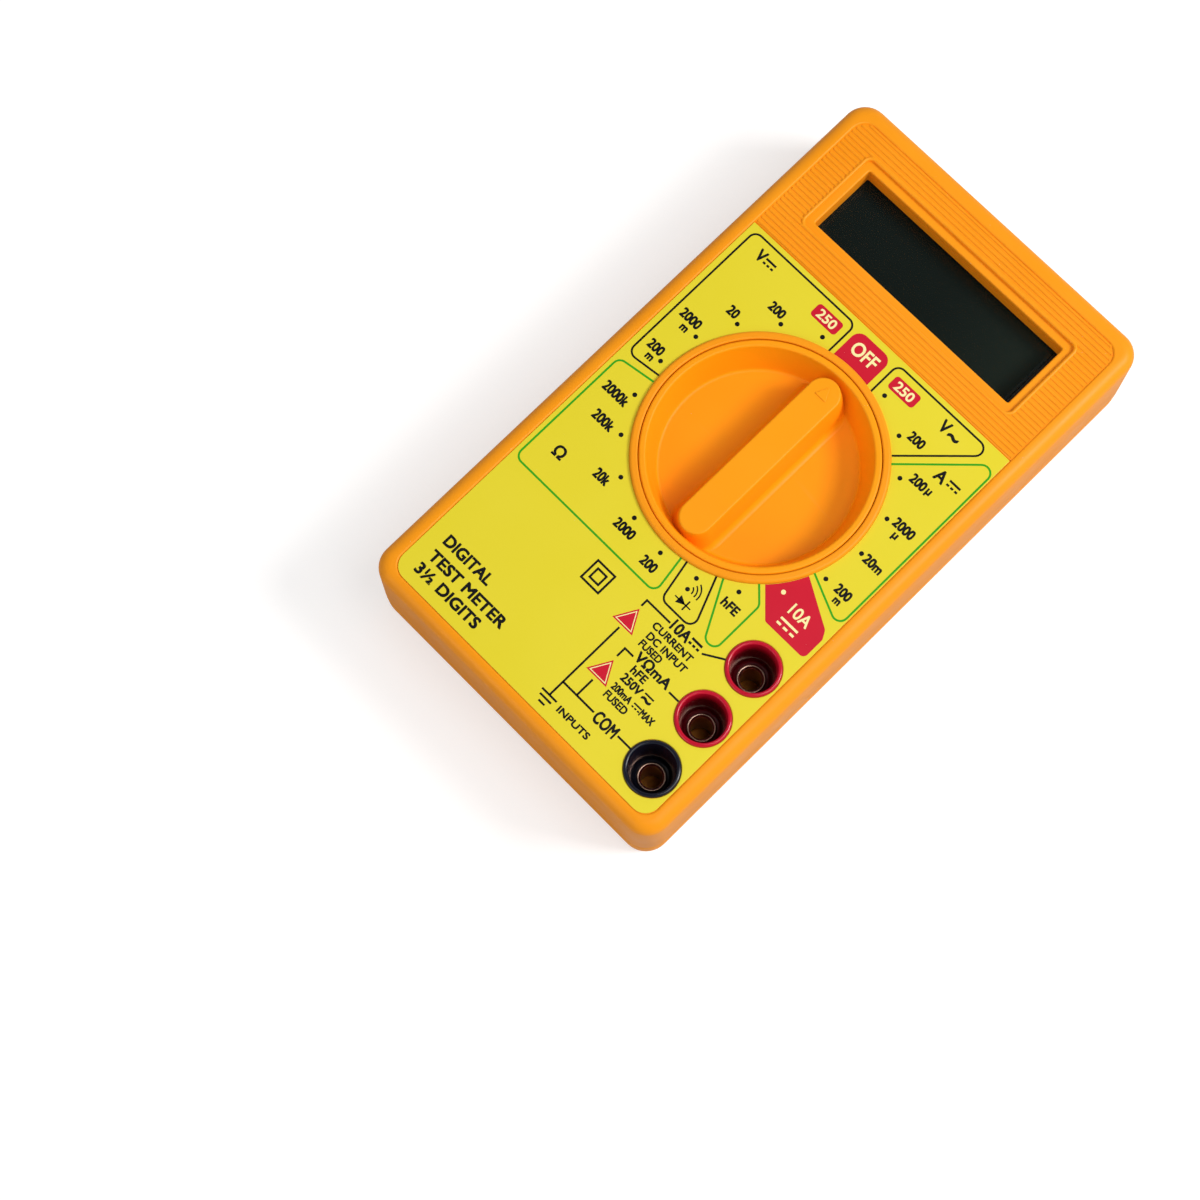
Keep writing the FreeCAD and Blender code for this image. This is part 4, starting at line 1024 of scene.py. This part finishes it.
# %% Range figures: words, centre and size of the box that they fill
FIGURES = [
    ("200", (-16.9, 21.55), (3.35, 1.95)), ("20", (-22.2, 15.75), (2.25, 2.0)),
    ("2000", (-26.65, 9.5), (4.45, 2.0)), ("m", (-26.3, 7.25), (1.5, 1.15)),
    ("200", (-27.25, 1.3), (3.3, 2.0)), ("m", (-26.85, -0.9), (1.5, 1.15)),
    ("2000k", (-26.15, -9.85), (5.55, 2.1)), ("200k", (-24.2, -14.9), (4.55, 2.1)),
    ("20k", (-17.0, -22.4), (3.2, 2.1)), ("2000", (-7.5, -26.2), (4.45, 2.0)),
    ("200", (0.0, -27.7), (3.3, 2.0)), ("hFE", (15.4, -23.0), (3.55, 1.85)),
    ("200", (27.5, -7.3), (3.3, 1.95)), ("m", (27.75, -9.3), (1.4, 1.1)),
    ("20m", (27.65, 0.05), (3.95, 1.95)), ("2000", (27.0, 8.5), (4.45, 2.0)),
    ("µ", (26.75, 6.2), (1.05, 1.5)), ("200", (22.95, 16.35), (3.3, 1.95)),
    ("µ", (25.4, 16.1), (1.0, 1.6)), ("200", (17.4, 21.7), (3.35, 1.95)),
]
for words, centre, size in FIGURES:
    print_text("black", words, centre, size)
for words, centre, size in (("V", (-26.1, 26.85), (1.8, 2.4)), ("V", (19.2, 27.05), (1.9, 2.5)),
                            ("~", (21.6, 26.5), (2.4, 1.0)), ("A", (25.0, 20.0), (2.2, 2.45)),
                            ("Ω", (-25.45, -24.5), (2.3, 2.45))):
    print_text("black", words, centre, size, 0.08)
print_dc("black", -25.1, -22.7, 26.7)
print_dc("black", 26.6, 29.1, 20.1)
print("black marks so far:", len(ink["black"]))

# %% Range outlines
print_stroke("black", [(-23.15, -2.1), (-30.2, -3.0), (-30.2, 29.5), (-5.1, 29.5), (-5.1, 22.4)])
print_stroke("black", [(5.4, 22.4), (5.4, 29.5), (29.2, 29.5), (16.25, 16.55)])
print_stroke("black", [(4.4, -22.6), (6.0, -30.6), (13.8, -30.6), (9.9, -20.9)])
print_stroke("green", [(-23.0, -3.6), (-30.5, -4.8), (-30.5, -30.6), (4.4, -30.6), (3.2, -22.8)])
print_stroke("green", [(17.25, 15.4), (31.1, 29.1), (31.1, -12.5), (21.4, -8.3)])
print_stroke("green", [(16.0, -16.5), (18.9, -19.4), (18.9, -30.4), (16.4, -30.4), (11.0, -20.3)])
print("green outlines:", len(ink["green"]))

# %% Red fields: OFF, the two 250 V boxes and the 10 A field
COLLAR_LINE = COLLAR_OUTER + 0.1


def collar_arc(first, last, steps=12):
    """Points along the collar between two angles in degrees."""
    return [
        (COLLAR_LINE * math.cos(math.radians(first + (last - first) * n / steps)),
         COLLAR_LINE * math.sin(math.radians(first + (last - first) * n / steps)))
        for n in range(steps + 1)
    ]


OFF_HALF = 4.1
off_angle = math.degrees(math.asin(OFF_HALF / COLLAR_LINE))
off_top = round_corners([(OFF_HALF, 22.6, 0), (OFF_HALF, 29.35, 1.9), (-OFF_HALF, 29.35, 1.9),
                         (-OFF_HALF, 22.6, 0)], closed=False)
print_shape("red", off_top[1:-1] + collar_arc(90 + off_angle, 90 - off_angle))
print_text("cream", "OFF", (0.05, 26.5), (5.5, 2.75), 0.07)
for centre in ((-9.45, 26.6), (9.7, 26.6)):
    print_shape("red", rectangle(6.0, 2.85, 0.65, centre, 4))
    print_text("cream", "250", centre, (4.1, 1.9), 0.06)
ten_amp = round_corners([(21.6, -9.6, 0), (29.9, -14.3, 1.2), (30.8, -15.9, 1.2), (30.8, -20.6, 1.0),
                         (21.5, -20.6, 0.6), (16.9, -15.9, 0)], closed=False)
print_shape("red", ten_amp + collar_arc(-43.2, -24.0))
print_text("cream", "10A", (25.2, -15.6), (4.4, 2.3), 0.05)
print_dc("cream", 22.9, 26.9, -18.6, 1.05, 0.45)
print("red fields:", len(ink["red"]))

# %% Diode and buzzer signs
diode_y = -28.4
print_stroke("black", [(7.2, diode_y), (10.9, diode_y)], 0.24, 0)
print_shape("black", [(8.0, diode_y + 0.85), (8.0, diode_y - 0.85), (9.7, diode_y)])
print_stroke("black", [(9.85, diode_y - 1.05), (9.85, diode_y + 1.05)], 0.3, 0)
sound = (7.95, -26.1)
print_shape("black", circle(0.42, sound, 18))
for radius in (1.05, 1.75, 2.45):
    arc = [(sound[0] + radius * math.cos(math.radians(a)), sound[1] + radius * math.sin(math.radians(a)))
           for a in range(-8, 68, 8)]
    print_stroke("black", arc, 0.26, 0)
print("black marks so far:", len(ink["black"]))

# %% Socket markings: generic words, leader lines and plain triangles
for words, centre, size, weight in (
        ("10A", (12.5, -32.2), (4.1, 2.25), 0.08), ("CURRENT", (12.8, -34.6), (9.2, 1.45), 0.06),
        ("DC INPUT", (13.4, -36.65), (9.2, 1.45), 0.06), ("FUSED", (11.3, -38.5), (5.0, 1.45), 0.06),
        ("VΩmA", (14.0, -40.5), (8.0, 2.15), 0.08), ("hFE", (12.8, -42.8), (3.35, 1.6), 0.07),
        ("250V", (13.1, -44.9), (4.5, 1.7), 0.07), ("200mA", (13.0, -47.2), (4.4, 1.45), 0.06),
        ("MAX", (19.1, -47.2), (3.0, 1.45), 0.06), ("FUSED", (13.4, -49.1), (5.1, 1.5), 0.06),
        ("COM", (14.95, -53.05), (5.0, 2.45), 0.08), ("INPUTS", (10.8, -56.8), (7.4, 1.35), 0.06)):
    print_text("black", words, centre, size, weight)
print_dc("black", 14.7, 17.1, -32.1, 0.9, 0.46)
print_dc("black", 15.7, 17.5, -47.2, 0.65, 0.3)
print_stroke("black", [(15.8, -44.3), (17.9, -44.3)], 0.32, 0)
print_text("black", "~", (16.85, -45.2), (2.1, 0.8), 0.06)
LEADERS = [
    [(4.4, -33.9), (4.4, -32.5), (10.1, -32.5)], [(17.8, -32.5), (21.4, -30.3)],
    [(7.75, -43.2), (7.75, -41.25), (9.8, -41.25)], [(18.6, -41.3), (20.95, -41.3)],
    [(4.4, -39.3), (4.4, -56.3)], [(7.75, -49.1), (7.75, -53.0)], [(4.4, -53.0), (12.0, -53.0)],
    [(17.8, -53.0), (20.95, -53.0)], [(2.6, -56.3), (6.2, -56.3)], [(3.0, -57.2), (5.7, -57.2)],
    [(3.65, -58.2), (5.1, -58.2)],
]
for corners in LEADERS:
    print_stroke("black", corners, 0.38, 0)
for left, low in ((2.15, -38.8), (5.45, -48.4)):
    triangle = [(left, low), (left + 4.85, low), (left + 2.42, low + 4.3)]
    centre = (left + 2.42, low + 1.43)
    inner = [[(centre[0] + (x - centre[0]) * k, centre[1] + (y - centre[1]) * k) for x, y in triangle]
             for k in (0.82, 0.7)]
    print_shape("red", triangle)
    print_shape("cream", inner[0], [inner[1]])
print("leader lines:", len(LEADERS))

# %% Title lines and the double-insulation sign
TITLE = [("DIGITAL", (-22.65, -49.6), (11.1, 2.3)), ("TEST METER", (-19.05, -53.3), (18.3, 2.3)),
         ("3½ DIGITS", (-20.7, -56.6), (15.2, 2.3))]
for words, centre, size in TITLE:
    print_text("black", words, centre, size, 0.1)
for size in (4.6, 2.5):
    square = rectangle(size, size, 0.05, (-4.6, -35.6), 2)
    print_shape("black", square, [rectangle(size - 0.8, size - 0.8, 0.05, (-4.6, -35.6), 2)])
print("black marks in all:", len(ink["black"]))

# %% One piece of each colour
INKS = {"black": ink_black, "red": ink_red, "green": ink_green, "cream": ink_cream}
for colour, material in INKS.items():
    place_piece(assemble(f"print_{colour}", ink[colour]), material, "case", "label_foil")

# %% [markdown]
# ## Selector knob
# The knob is a deep dish with a bar across it. The dish is turned from its section, which also has the
# shoulder and hub that keep it in the case. Two spring pockets are sunk in the shoulder, right where
# the CAD puts the click balls. The bar is a stack of rings with round ends: it flares where it meets
# the dish, leans in as moulded walls do, and is rounded along its top edge.

# %% Dish
RIM = 24.6
KNOB_RADIUS = 21.5
DISH_FLOOR = 17.4
DISH_MOUTH = 20.25
DISH_RADIUS = 18.25
DISH_UNDER = 15.9
SPIGOT, SPIGOT_FOOT = 3.2, 8.4
HUB, HUB_FOOT = 5.0, 11.6
FLANGE_INSIDE, FLANGE, FLANGE_FOOT, FLANGE_TOP = 20.4, 26.0, 18.2, 19.6
SHOULDER, SHOULDER_TOP = 22.6, 21.2
dish = round_corners([
    (0, SPIGOT_FOOT, 0), (SPIGOT, SPIGOT_FOOT, 0.2), (SPIGOT, HUB_FOOT, 0), (HUB, HUB_FOOT, 0.3),
    (HUB, DISH_UNDER, 0.5), (FLANGE_INSIDE, DISH_UNDER, 0.5), (FLANGE_INSIDE, FLANGE_FOOT, 0.3),
    (FLANGE, FLANGE_FOOT, 0.3), (FLANGE, FLANGE_TOP, 0.3), (SHOULDER, FLANGE_TOP, 0.3),
    (SHOULDER, SHOULDER_TOP, 0.3), (KNOB_RADIUS, SHOULDER_TOP, 0), (KNOB_RADIUS, RIM, 0.4),
    (DISH_MOUTH, RIM, 0.45), (DISH_RADIUS, DISH_FLOOR, 0.7), (0, DISH_FLOOR, 0),
], closed=False, steps=7)
knob_blank = assemble("knob_blank", [lathe(dish, steps=160, closed=False)])

# %% Ball pockets in the shoulder
POCKET_OUTSIDE, POCKET_BORE = 2.45, 1.6
POCKET_FOOT, POCKET_FLOOR, POCKET_MOUTH = 13.2, 14.2, 20.9
DRILL_RADIUS, DRILL_LOW, DRILL_HIGH = 2.0, 16.5, 22
drills, pockets = [], []
pocket = round_corners([
    (0, POCKET_FOOT, 0), (POCKET_OUTSIDE, POCKET_FOOT, 0.3), (POCKET_OUTSIDE, POCKET_MOUTH, 0.25),
    (POCKET_BORE, POCKET_MOUTH, 0.2), (POCKET_BORE, POCKET_FLOOR, 0.2), (0, POCKET_FLOOR, 0),
], closed=False, steps=4)
for side in ("left", "right"):
    low, high = box_mm(f"detent_ball_{side}")
    spot = ((low[0] + high[0]) / 2, (low[1] + high[1]) / 2)
    drills.append(assemble(f"drill_{side}", [post(DRILL_RADIUS, spot, DRILL_LOW, DRILL_HIGH)]))
    pockets.append(lathe(pocket, spot, 40, closed=False))
knob_parts = [cut_out(knob_blank, drills)] + pockets
print("dish profile:", len(dish), "points; ball pockets:", len(pockets))


# %% Grip bar and pointer
def bar_ring(width, length, height, steps=14):
    """A ring with half-round ends."""
    return level(rectangle(width, length, width / 2 - 0.01, steps=steps), height)


GRIP_WIDTH = 8.4
GRIP_LENGTH = 40.1
GRIP_TOP = 24.8
GRIP_LEAN = math.tan(math.radians(8))
TOP_ROUND = 0.3
FOOT_ROUND = 1.6
rings = []
for angle in quarter(6):
    grown = 2 * FOOT_ROUND * (1 - math.sin(angle))
    rings.append(bar_ring(GRIP_WIDTH + grown, GRIP_LENGTH + grown / 4,
                          DISH_FLOOR - 0.05 + FOOT_ROUND * (1 - math.cos(angle))))
for angle in quarter(6):
    height = GRIP_TOP - TOP_ROUND * (1 - math.sin(angle))
    shrunk = 2 * GRIP_LEAN * (height - DISH_FLOOR) + 2 * TOP_ROUND * (1 - math.cos(angle))
    rings.append(bar_ring(GRIP_WIDTH - shrunk, GRIP_LENGTH - shrunk, height))
knob_parts.append(stack(rings))
POINTER_HALF = 1.3
POINTER_Y = 16.3
corners = [(-POINTER_HALF, POINTER_Y - POINTER_HALF), (POINTER_HALF, POINTER_Y - POINTER_HALF),
           (0, POINTER_Y + POINTER_HALF)]
knob_parts.append(plate(round_corners([(x, y, 0.15) for x, y in corners], steps=4), GRIP_TOP - 0.1,
                        pointer_top - HAIR / 2, edge=0.08, steps=2))
place_piece(assemble("knob", knob_parts, 40), knob_orange, "selector", "knob_plastic", "selector_knob")

# %% [markdown]
# ## Banana sockets
# Each socket is a glossy sleeve with a rounded rim and a recess that narrows down to a floor, and a
# plated tube that stands in it. A thin brown-red sheet lines the tube's bore: painted shade and a
# painted reflection of the red sleeve, where the brass would be. All are turned shapes. The loop reads
# each socket's place from its CAD sleeve, so the three stay where the CAD puts them. Little light comes
# back out of so deep a recess, which a plain red would not show, so the red is darkened by height.


# %% A well that gets darker with depth
def darken_with_depth(material, low, high, darkest):
    """Multiplies a finish's colour by a value that falls from one at high to darkest at low (mm)."""
    tree = material.node_tree
    colour = tree.nodes["Principled BSDF"].inputs["Base Color"]
    source = colour.links[0].from_socket
    spot = add_node(tree, "ShaderNodeTexCoord")
    apart = add_node(tree, "ShaderNodeSeparateXYZ")
    depth = add_node(tree, "ShaderNodeMapRange", interpolation_type="SMOOTHSTEP")
    set_inputs(depth, {"From Min": low * MM, "From Max": high * MM, "To Min": darkest, "To Max": 1})
    scaled = add_node(tree, "ShaderNodeVectorMath", operation="SCALE")
    wire(tree, spot.outputs["Object"], apart.inputs[0])
    wire(tree, apart.outputs["Z"], depth.inputs["Value"])
    wire(tree, source, scaled.inputs[0])
    wire(tree, depth.outputs["Result"], scaled.inputs["Scale"])
    wire(tree, scaled.outputs[0], colour)


darken_with_depth(sleeve_red, sleeve_high[2] - 4.2, sleeve_high[2] - 0.3, 0.2)
print("sleeve rim at", round(sleeve_high[2], 1), "mm")

# %% Sleeves and tubes
SLEEVE_BORE = 2.62
SLEEVE_MOUTH = 4.3
RECESS_FOOT = 3.3
TUBE_BORE, TUBE_OUTER, TUBE_FLANGE = 2.0, 2.6, 3.4
BOARD_UNDER = 9.6
TUBE_FLANGE_FOOT = 9.0
TUBE_LIP = 0.6
for name, material in SOCKETS.items():
    spot = socket_middle(name)
    low, high = box_mm(f"socket_sleeve_{name}")
    sleeve = round_corners([
        (SLEEVE_BORE, low[2], 0), (SLEEVE_RADIUS, low[2], 0.2), (SLEEVE_RADIUS, high[2], 0.42),
        (SLEEVE_MOUTH, high[2], 0.32), (RECESS_FOOT, 14.75, 0.5), (SLEEVE_BORE, 14.5, 0.1),
    ], steps=6)
    piece = assemble(f"sleeve_{name}", [lathe(sleeve, spot, 96)], 50)
    slot = "black_sleeve" if name == "common" else "red_sleeve"
    place_piece(piece, material, "case", slot, f"socket_sleeve_{name}")
    tube_low, tube_high = box_mm(f"socket_tube_{name}")
    tube_top = tube_high[2] + TUBE_LIP
    tube = round_corners([
        (TUBE_BORE, tube_low[2], 0.1), (TUBE_OUTER, tube_low[2], 0.1), (TUBE_OUTER, TUBE_FLANGE_FOOT, 0),
        (TUBE_FLANGE, TUBE_FLANGE_FOOT, 0.2), (TUBE_FLANGE, BOARD_UNDER, 0.2),
        (TUBE_OUTER, BOARD_UNDER, 0), (TUBE_OUTER, tube_top, 0.15), (2.25, tube_top, 0.15),
        (TUBE_BORE, 14.1, 0.2),
    ], steps=4)
    # A thin sheet inside the bore carries the painted shade and the painted red reflection.
    painted_bore_low = tube_low[2] + 0.5
    painted_bore_sheet = lathe([(TUBE_BORE, painted_bore_low), (TUBE_BORE, tube_high[2]), (TUBE_BORE - 0.03, tube_high[2]),
                   (TUBE_BORE - 0.03, painted_bore_low)], spot, 64)
    piece = assemble(f"tube_{name}", [lathe(tube, spot, 64)], 40, second=[painted_bore_sheet])
    place_piece(piece, tinned, "case", "tinned_brass", f"socket_tube_{name}", second=bore_shade_paint)

# %% [markdown]
# ## Display
# A liquid crystal cell is two glass plates, the rear one a little larger, so that its edge can take the
# contacts, and a dark polarising film lies on the front one. It stops short of the window at one end.
# The clear window above it is a plate with soft edges, kept a hair off the cell: two faces in
# exactly the same place would flicker in the render.

# %% Cell, polarising film and window
cell_low, cell_high = box_mm("lcd_panel")
cell_middle = ((cell_low[0] + cell_high[0]) / 2, WINDOW_MIDDLE[1])
cell_size = (cell_high[0] - cell_low[0], cell_high[1] - cell_low[1])
front_under = cell_low[2] + 0.95
film_under = cell_high[2] - 0.15
rear = plate(rectangle(*cell_size, 0.2, cell_middle), cell_low[2], front_under, edge=0.05, steps=1)
front = plate(rectangle(cell_size[0] - 0.4, cell_size[1] - 2.2, 0.2, cell_middle), front_under,
              film_under, edge=0.05, steps=1)
film = plate(rectangle(cell_size[0] - 1.4, cell_size[1] - 2.8, 0.5, cell_middle), film_under,
             cell_high[2] - 0.03)
cell = assemble("display_cell", [rear, front], second=[film])
place_piece(cell, cell_glass, "case", "lcd_glass", "lcd_panel", second=display_black)
window_size = (glass_high[0] - glass_low[0], glass_high[1] - glass_low[1])
window = plate(rectangle(*window_size, 0.6, WINDOW_MIDDLE), glass_low[2] + 0.05, glass_high[2] - 0.03,
               edge=0.08, steps=2)
place_piece(assemble("display_lens", [window]), clear_lens, "case", "clear_lens", "display_window")

# %% [markdown]
# ## Parts carried over from CAD
# Everything inside the case already has its right shape, so it keeps its CAD mesh and only gets a real
# finish. The table says which finish goes on which node.

# %% Finishes for the CAD nodes
CARRIED = {
    clear_glass: ["fuse_glass"],
    black_plastic: ["lcd_holder", "buzzer", "battery_snap"],
    zebra_grey: ["contact_strip_upper", "contact_strip_lower"],
    brass: ["wiper_contacts", "trimmer_rotor", "fuse_clips"],
    plated: ["detent_ball_right", "detent_ball_left", "board_screws", "fuse_wire", "fuse_caps",
             "battery_terminals"],
    spring_wire: ["detent_spring_right", "detent_spring_left"],
    board_green: ["main_board"],
    resin_black: ["chip_cap", "transistors"],
    trimmer_blue: ["trimmer_base"],
    sleeve_blue: ["electrolytic_capacitor"],
    film_brown: ["film_capacitors"],
    enamel_tan: ["resistors"],
    lead_red: ["battery_lead_red"],
    lead_black: ["battery_lead_black"],
    shunt_alloy: ["current_shunt"],
    battery_dark: ["battery"],
    foam_grey: ["battery_cushion"],
}
for material, names in CARRIED.items():
    for name in names:
        for holder in nodes[name].material_slots:
            holder.link = "OBJECT"
            holder.material = material
print("carried over:", sum(len(names) for names in CARRIED.values()))

# %% [markdown]
# ## Studio
# The meter lies on a plain pale floor. A broad soft light from the reader's right gives the bright
# edges and lets the grip's shadow fall to the left; a weaker one from the front lights the end walls,
# and a small one overhead reaches down into the sockets. A pale sky fills the rest, dimmer overhead, so
# that recesses stay deep in tone. The floor's paint adds a little light of its own for the camera only,
# which keeps it white without throwing more light up the case walls. It lies a tenth of a millimetre
# low and is clear from below and to anything that nearly touches it, so that the back of the case can
# be looked at as well. The camera looks down steeply from the lower right, rolled so that the meter lies
# across the frame.

# %% Floor and sky
floor_mesh = bpy.data.meshes.new("floor")
reach = 3.0
drop = -0.0001
FLOOR_GLOW = 0.58
NEARLY_TOUCHING = 0.0012
floor_corners = [(-reach, -reach), (reach, -reach), (reach, reach), (-reach, reach)]
floor_mesh.from_pydata(level(floor_corners, drop), [], [(0, 1, 2, 3)])
floor = bpy.data.objects.new("floor", floor_mesh)
bpy.context.scene.collection.objects.link(floor)
floor_paint, paint, paint_shader = start_material("floor_paint")
set_inputs(paint_shader, {"Base Color": (0.55, 0.55, 0.55, 1), "Roughness": 0.9,
                          "Emission Color": (1, 1, 1, 1)})
seen = add_node(paint, "ShaderNodeLightPath")
lift = add_node(paint, "ShaderNodeMath", operation="MULTIPLY")
lift.inputs[1].default_value = FLOOR_GLOW
wire(paint, seen.outputs["Is Camera Ray"], lift.inputs[0])
wire(paint, lift.outputs[0], paint_shader.inputs["Emission Strength"])
underside = add_node(paint, "ShaderNodeNewGeometry")
touching = add_node(paint, "ShaderNodeMath", operation="LESS_THAN")
touching.inputs[1].default_value = NEARLY_TOUCHING
either = add_node(paint, "ShaderNodeMath", operation="MAXIMUM")
solid = add_node(paint, "ShaderNodeMath", operation="SUBTRACT")
solid.inputs[0].default_value = 1.0
wire(paint, seen.outputs["Ray Length"], touching.inputs[0])
wire(paint, underside.outputs["Backfacing"], either.inputs[0])
wire(paint, touching.outputs[0], either.inputs[1])
wire(paint, either.outputs[0], solid.inputs[1])
wire(paint, solid.outputs[0], paint_shader.inputs["Alpha"])
floor_mesh.materials.append(floor_paint)
world = bpy.data.worlds.new("studio")
bpy.context.scene.world = world
world.use_nodes = True
sky = world.node_tree
towards = add_node(sky, "ShaderNodeTexCoord")
height = add_node(sky, "ShaderNodeSeparateXYZ")
fade = add_node(sky, "ShaderNodeMapRange")
set_inputs(fade, {"From Min": 0.5, "From Max": 0.95, "To Min": 0.5, "To Max": 0.12})
wire(sky, towards.outputs["Generated"], height.inputs[0])
wire(sky, height.outputs["Z"], fade.inputs["Value"])
wire(sky, fade.outputs["Result"], sky.nodes["Background"].inputs["Strength"])
sky.nodes["Background"].inputs["Color"].default_value = (1.0, 0.995, 0.985, 1)
print("floor reaches", reach, "m each way")


# %% Lights
def soft_light(name, place, size, power, colour=(1, 1, 1)):
    """A square soft light aimed at the meter."""
    data = bpy.data.lights.new(name, "AREA")
    data.energy = power
    data.size = size
    data.color = colour
    lamp = bpy.data.objects.new(name, data)
    bpy.context.scene.collection.objects.link(lamp)
    lamp.location = place
    lamp.rotation_euler = (-Vector(place)).to_track_quat("-Z", "Y").to_euler()


soft_light("key", (0.51, 0.39, 0.64), 0.26, 5.0, (1.0, 0.985, 0.965))
soft_light("top", (0.2, 0.05, 0.6), 0.25, 0.95)
soft_light("front", (-0.1, -0.85, 0.5), 0.5, 1.45, (1.0, 0.95, 0.95))
print("lights:", len(bpy.data.lights))

# %% Camera
CAMERA_PLACE = Vector((0.0700, -0.1036, 0.4484))
CAMERA_AIM = Vector((-0.0014, -0.0383, 0.0240))
CAMERA_ROLL = math.radians(-2.25)
camera_data = bpy.data.cameras.new("camera")
camera_data.lens = 75
camera_data.sensor_width = 36
camera_data.clip_start = 0.01
camera = bpy.data.objects.new("camera", camera_data)
bpy.context.scene.collection.objects.link(camera)
camera.location = CAMERA_PLACE
camera.rotation_mode = "QUATERNION"
camera.rotation_quaternion = (
    (CAMERA_AIM - CAMERA_PLACE).to_track_quat("-Z", "Y") @ Quaternion((0, 0, 1), CAMERA_ROLL)
)
bpy.context.scene.camera = camera
bpy.context.scene.view_settings.view_transform = "Standard"
print("camera looks from", tuple(round(c, 3) for c in CAMERA_PLACE))
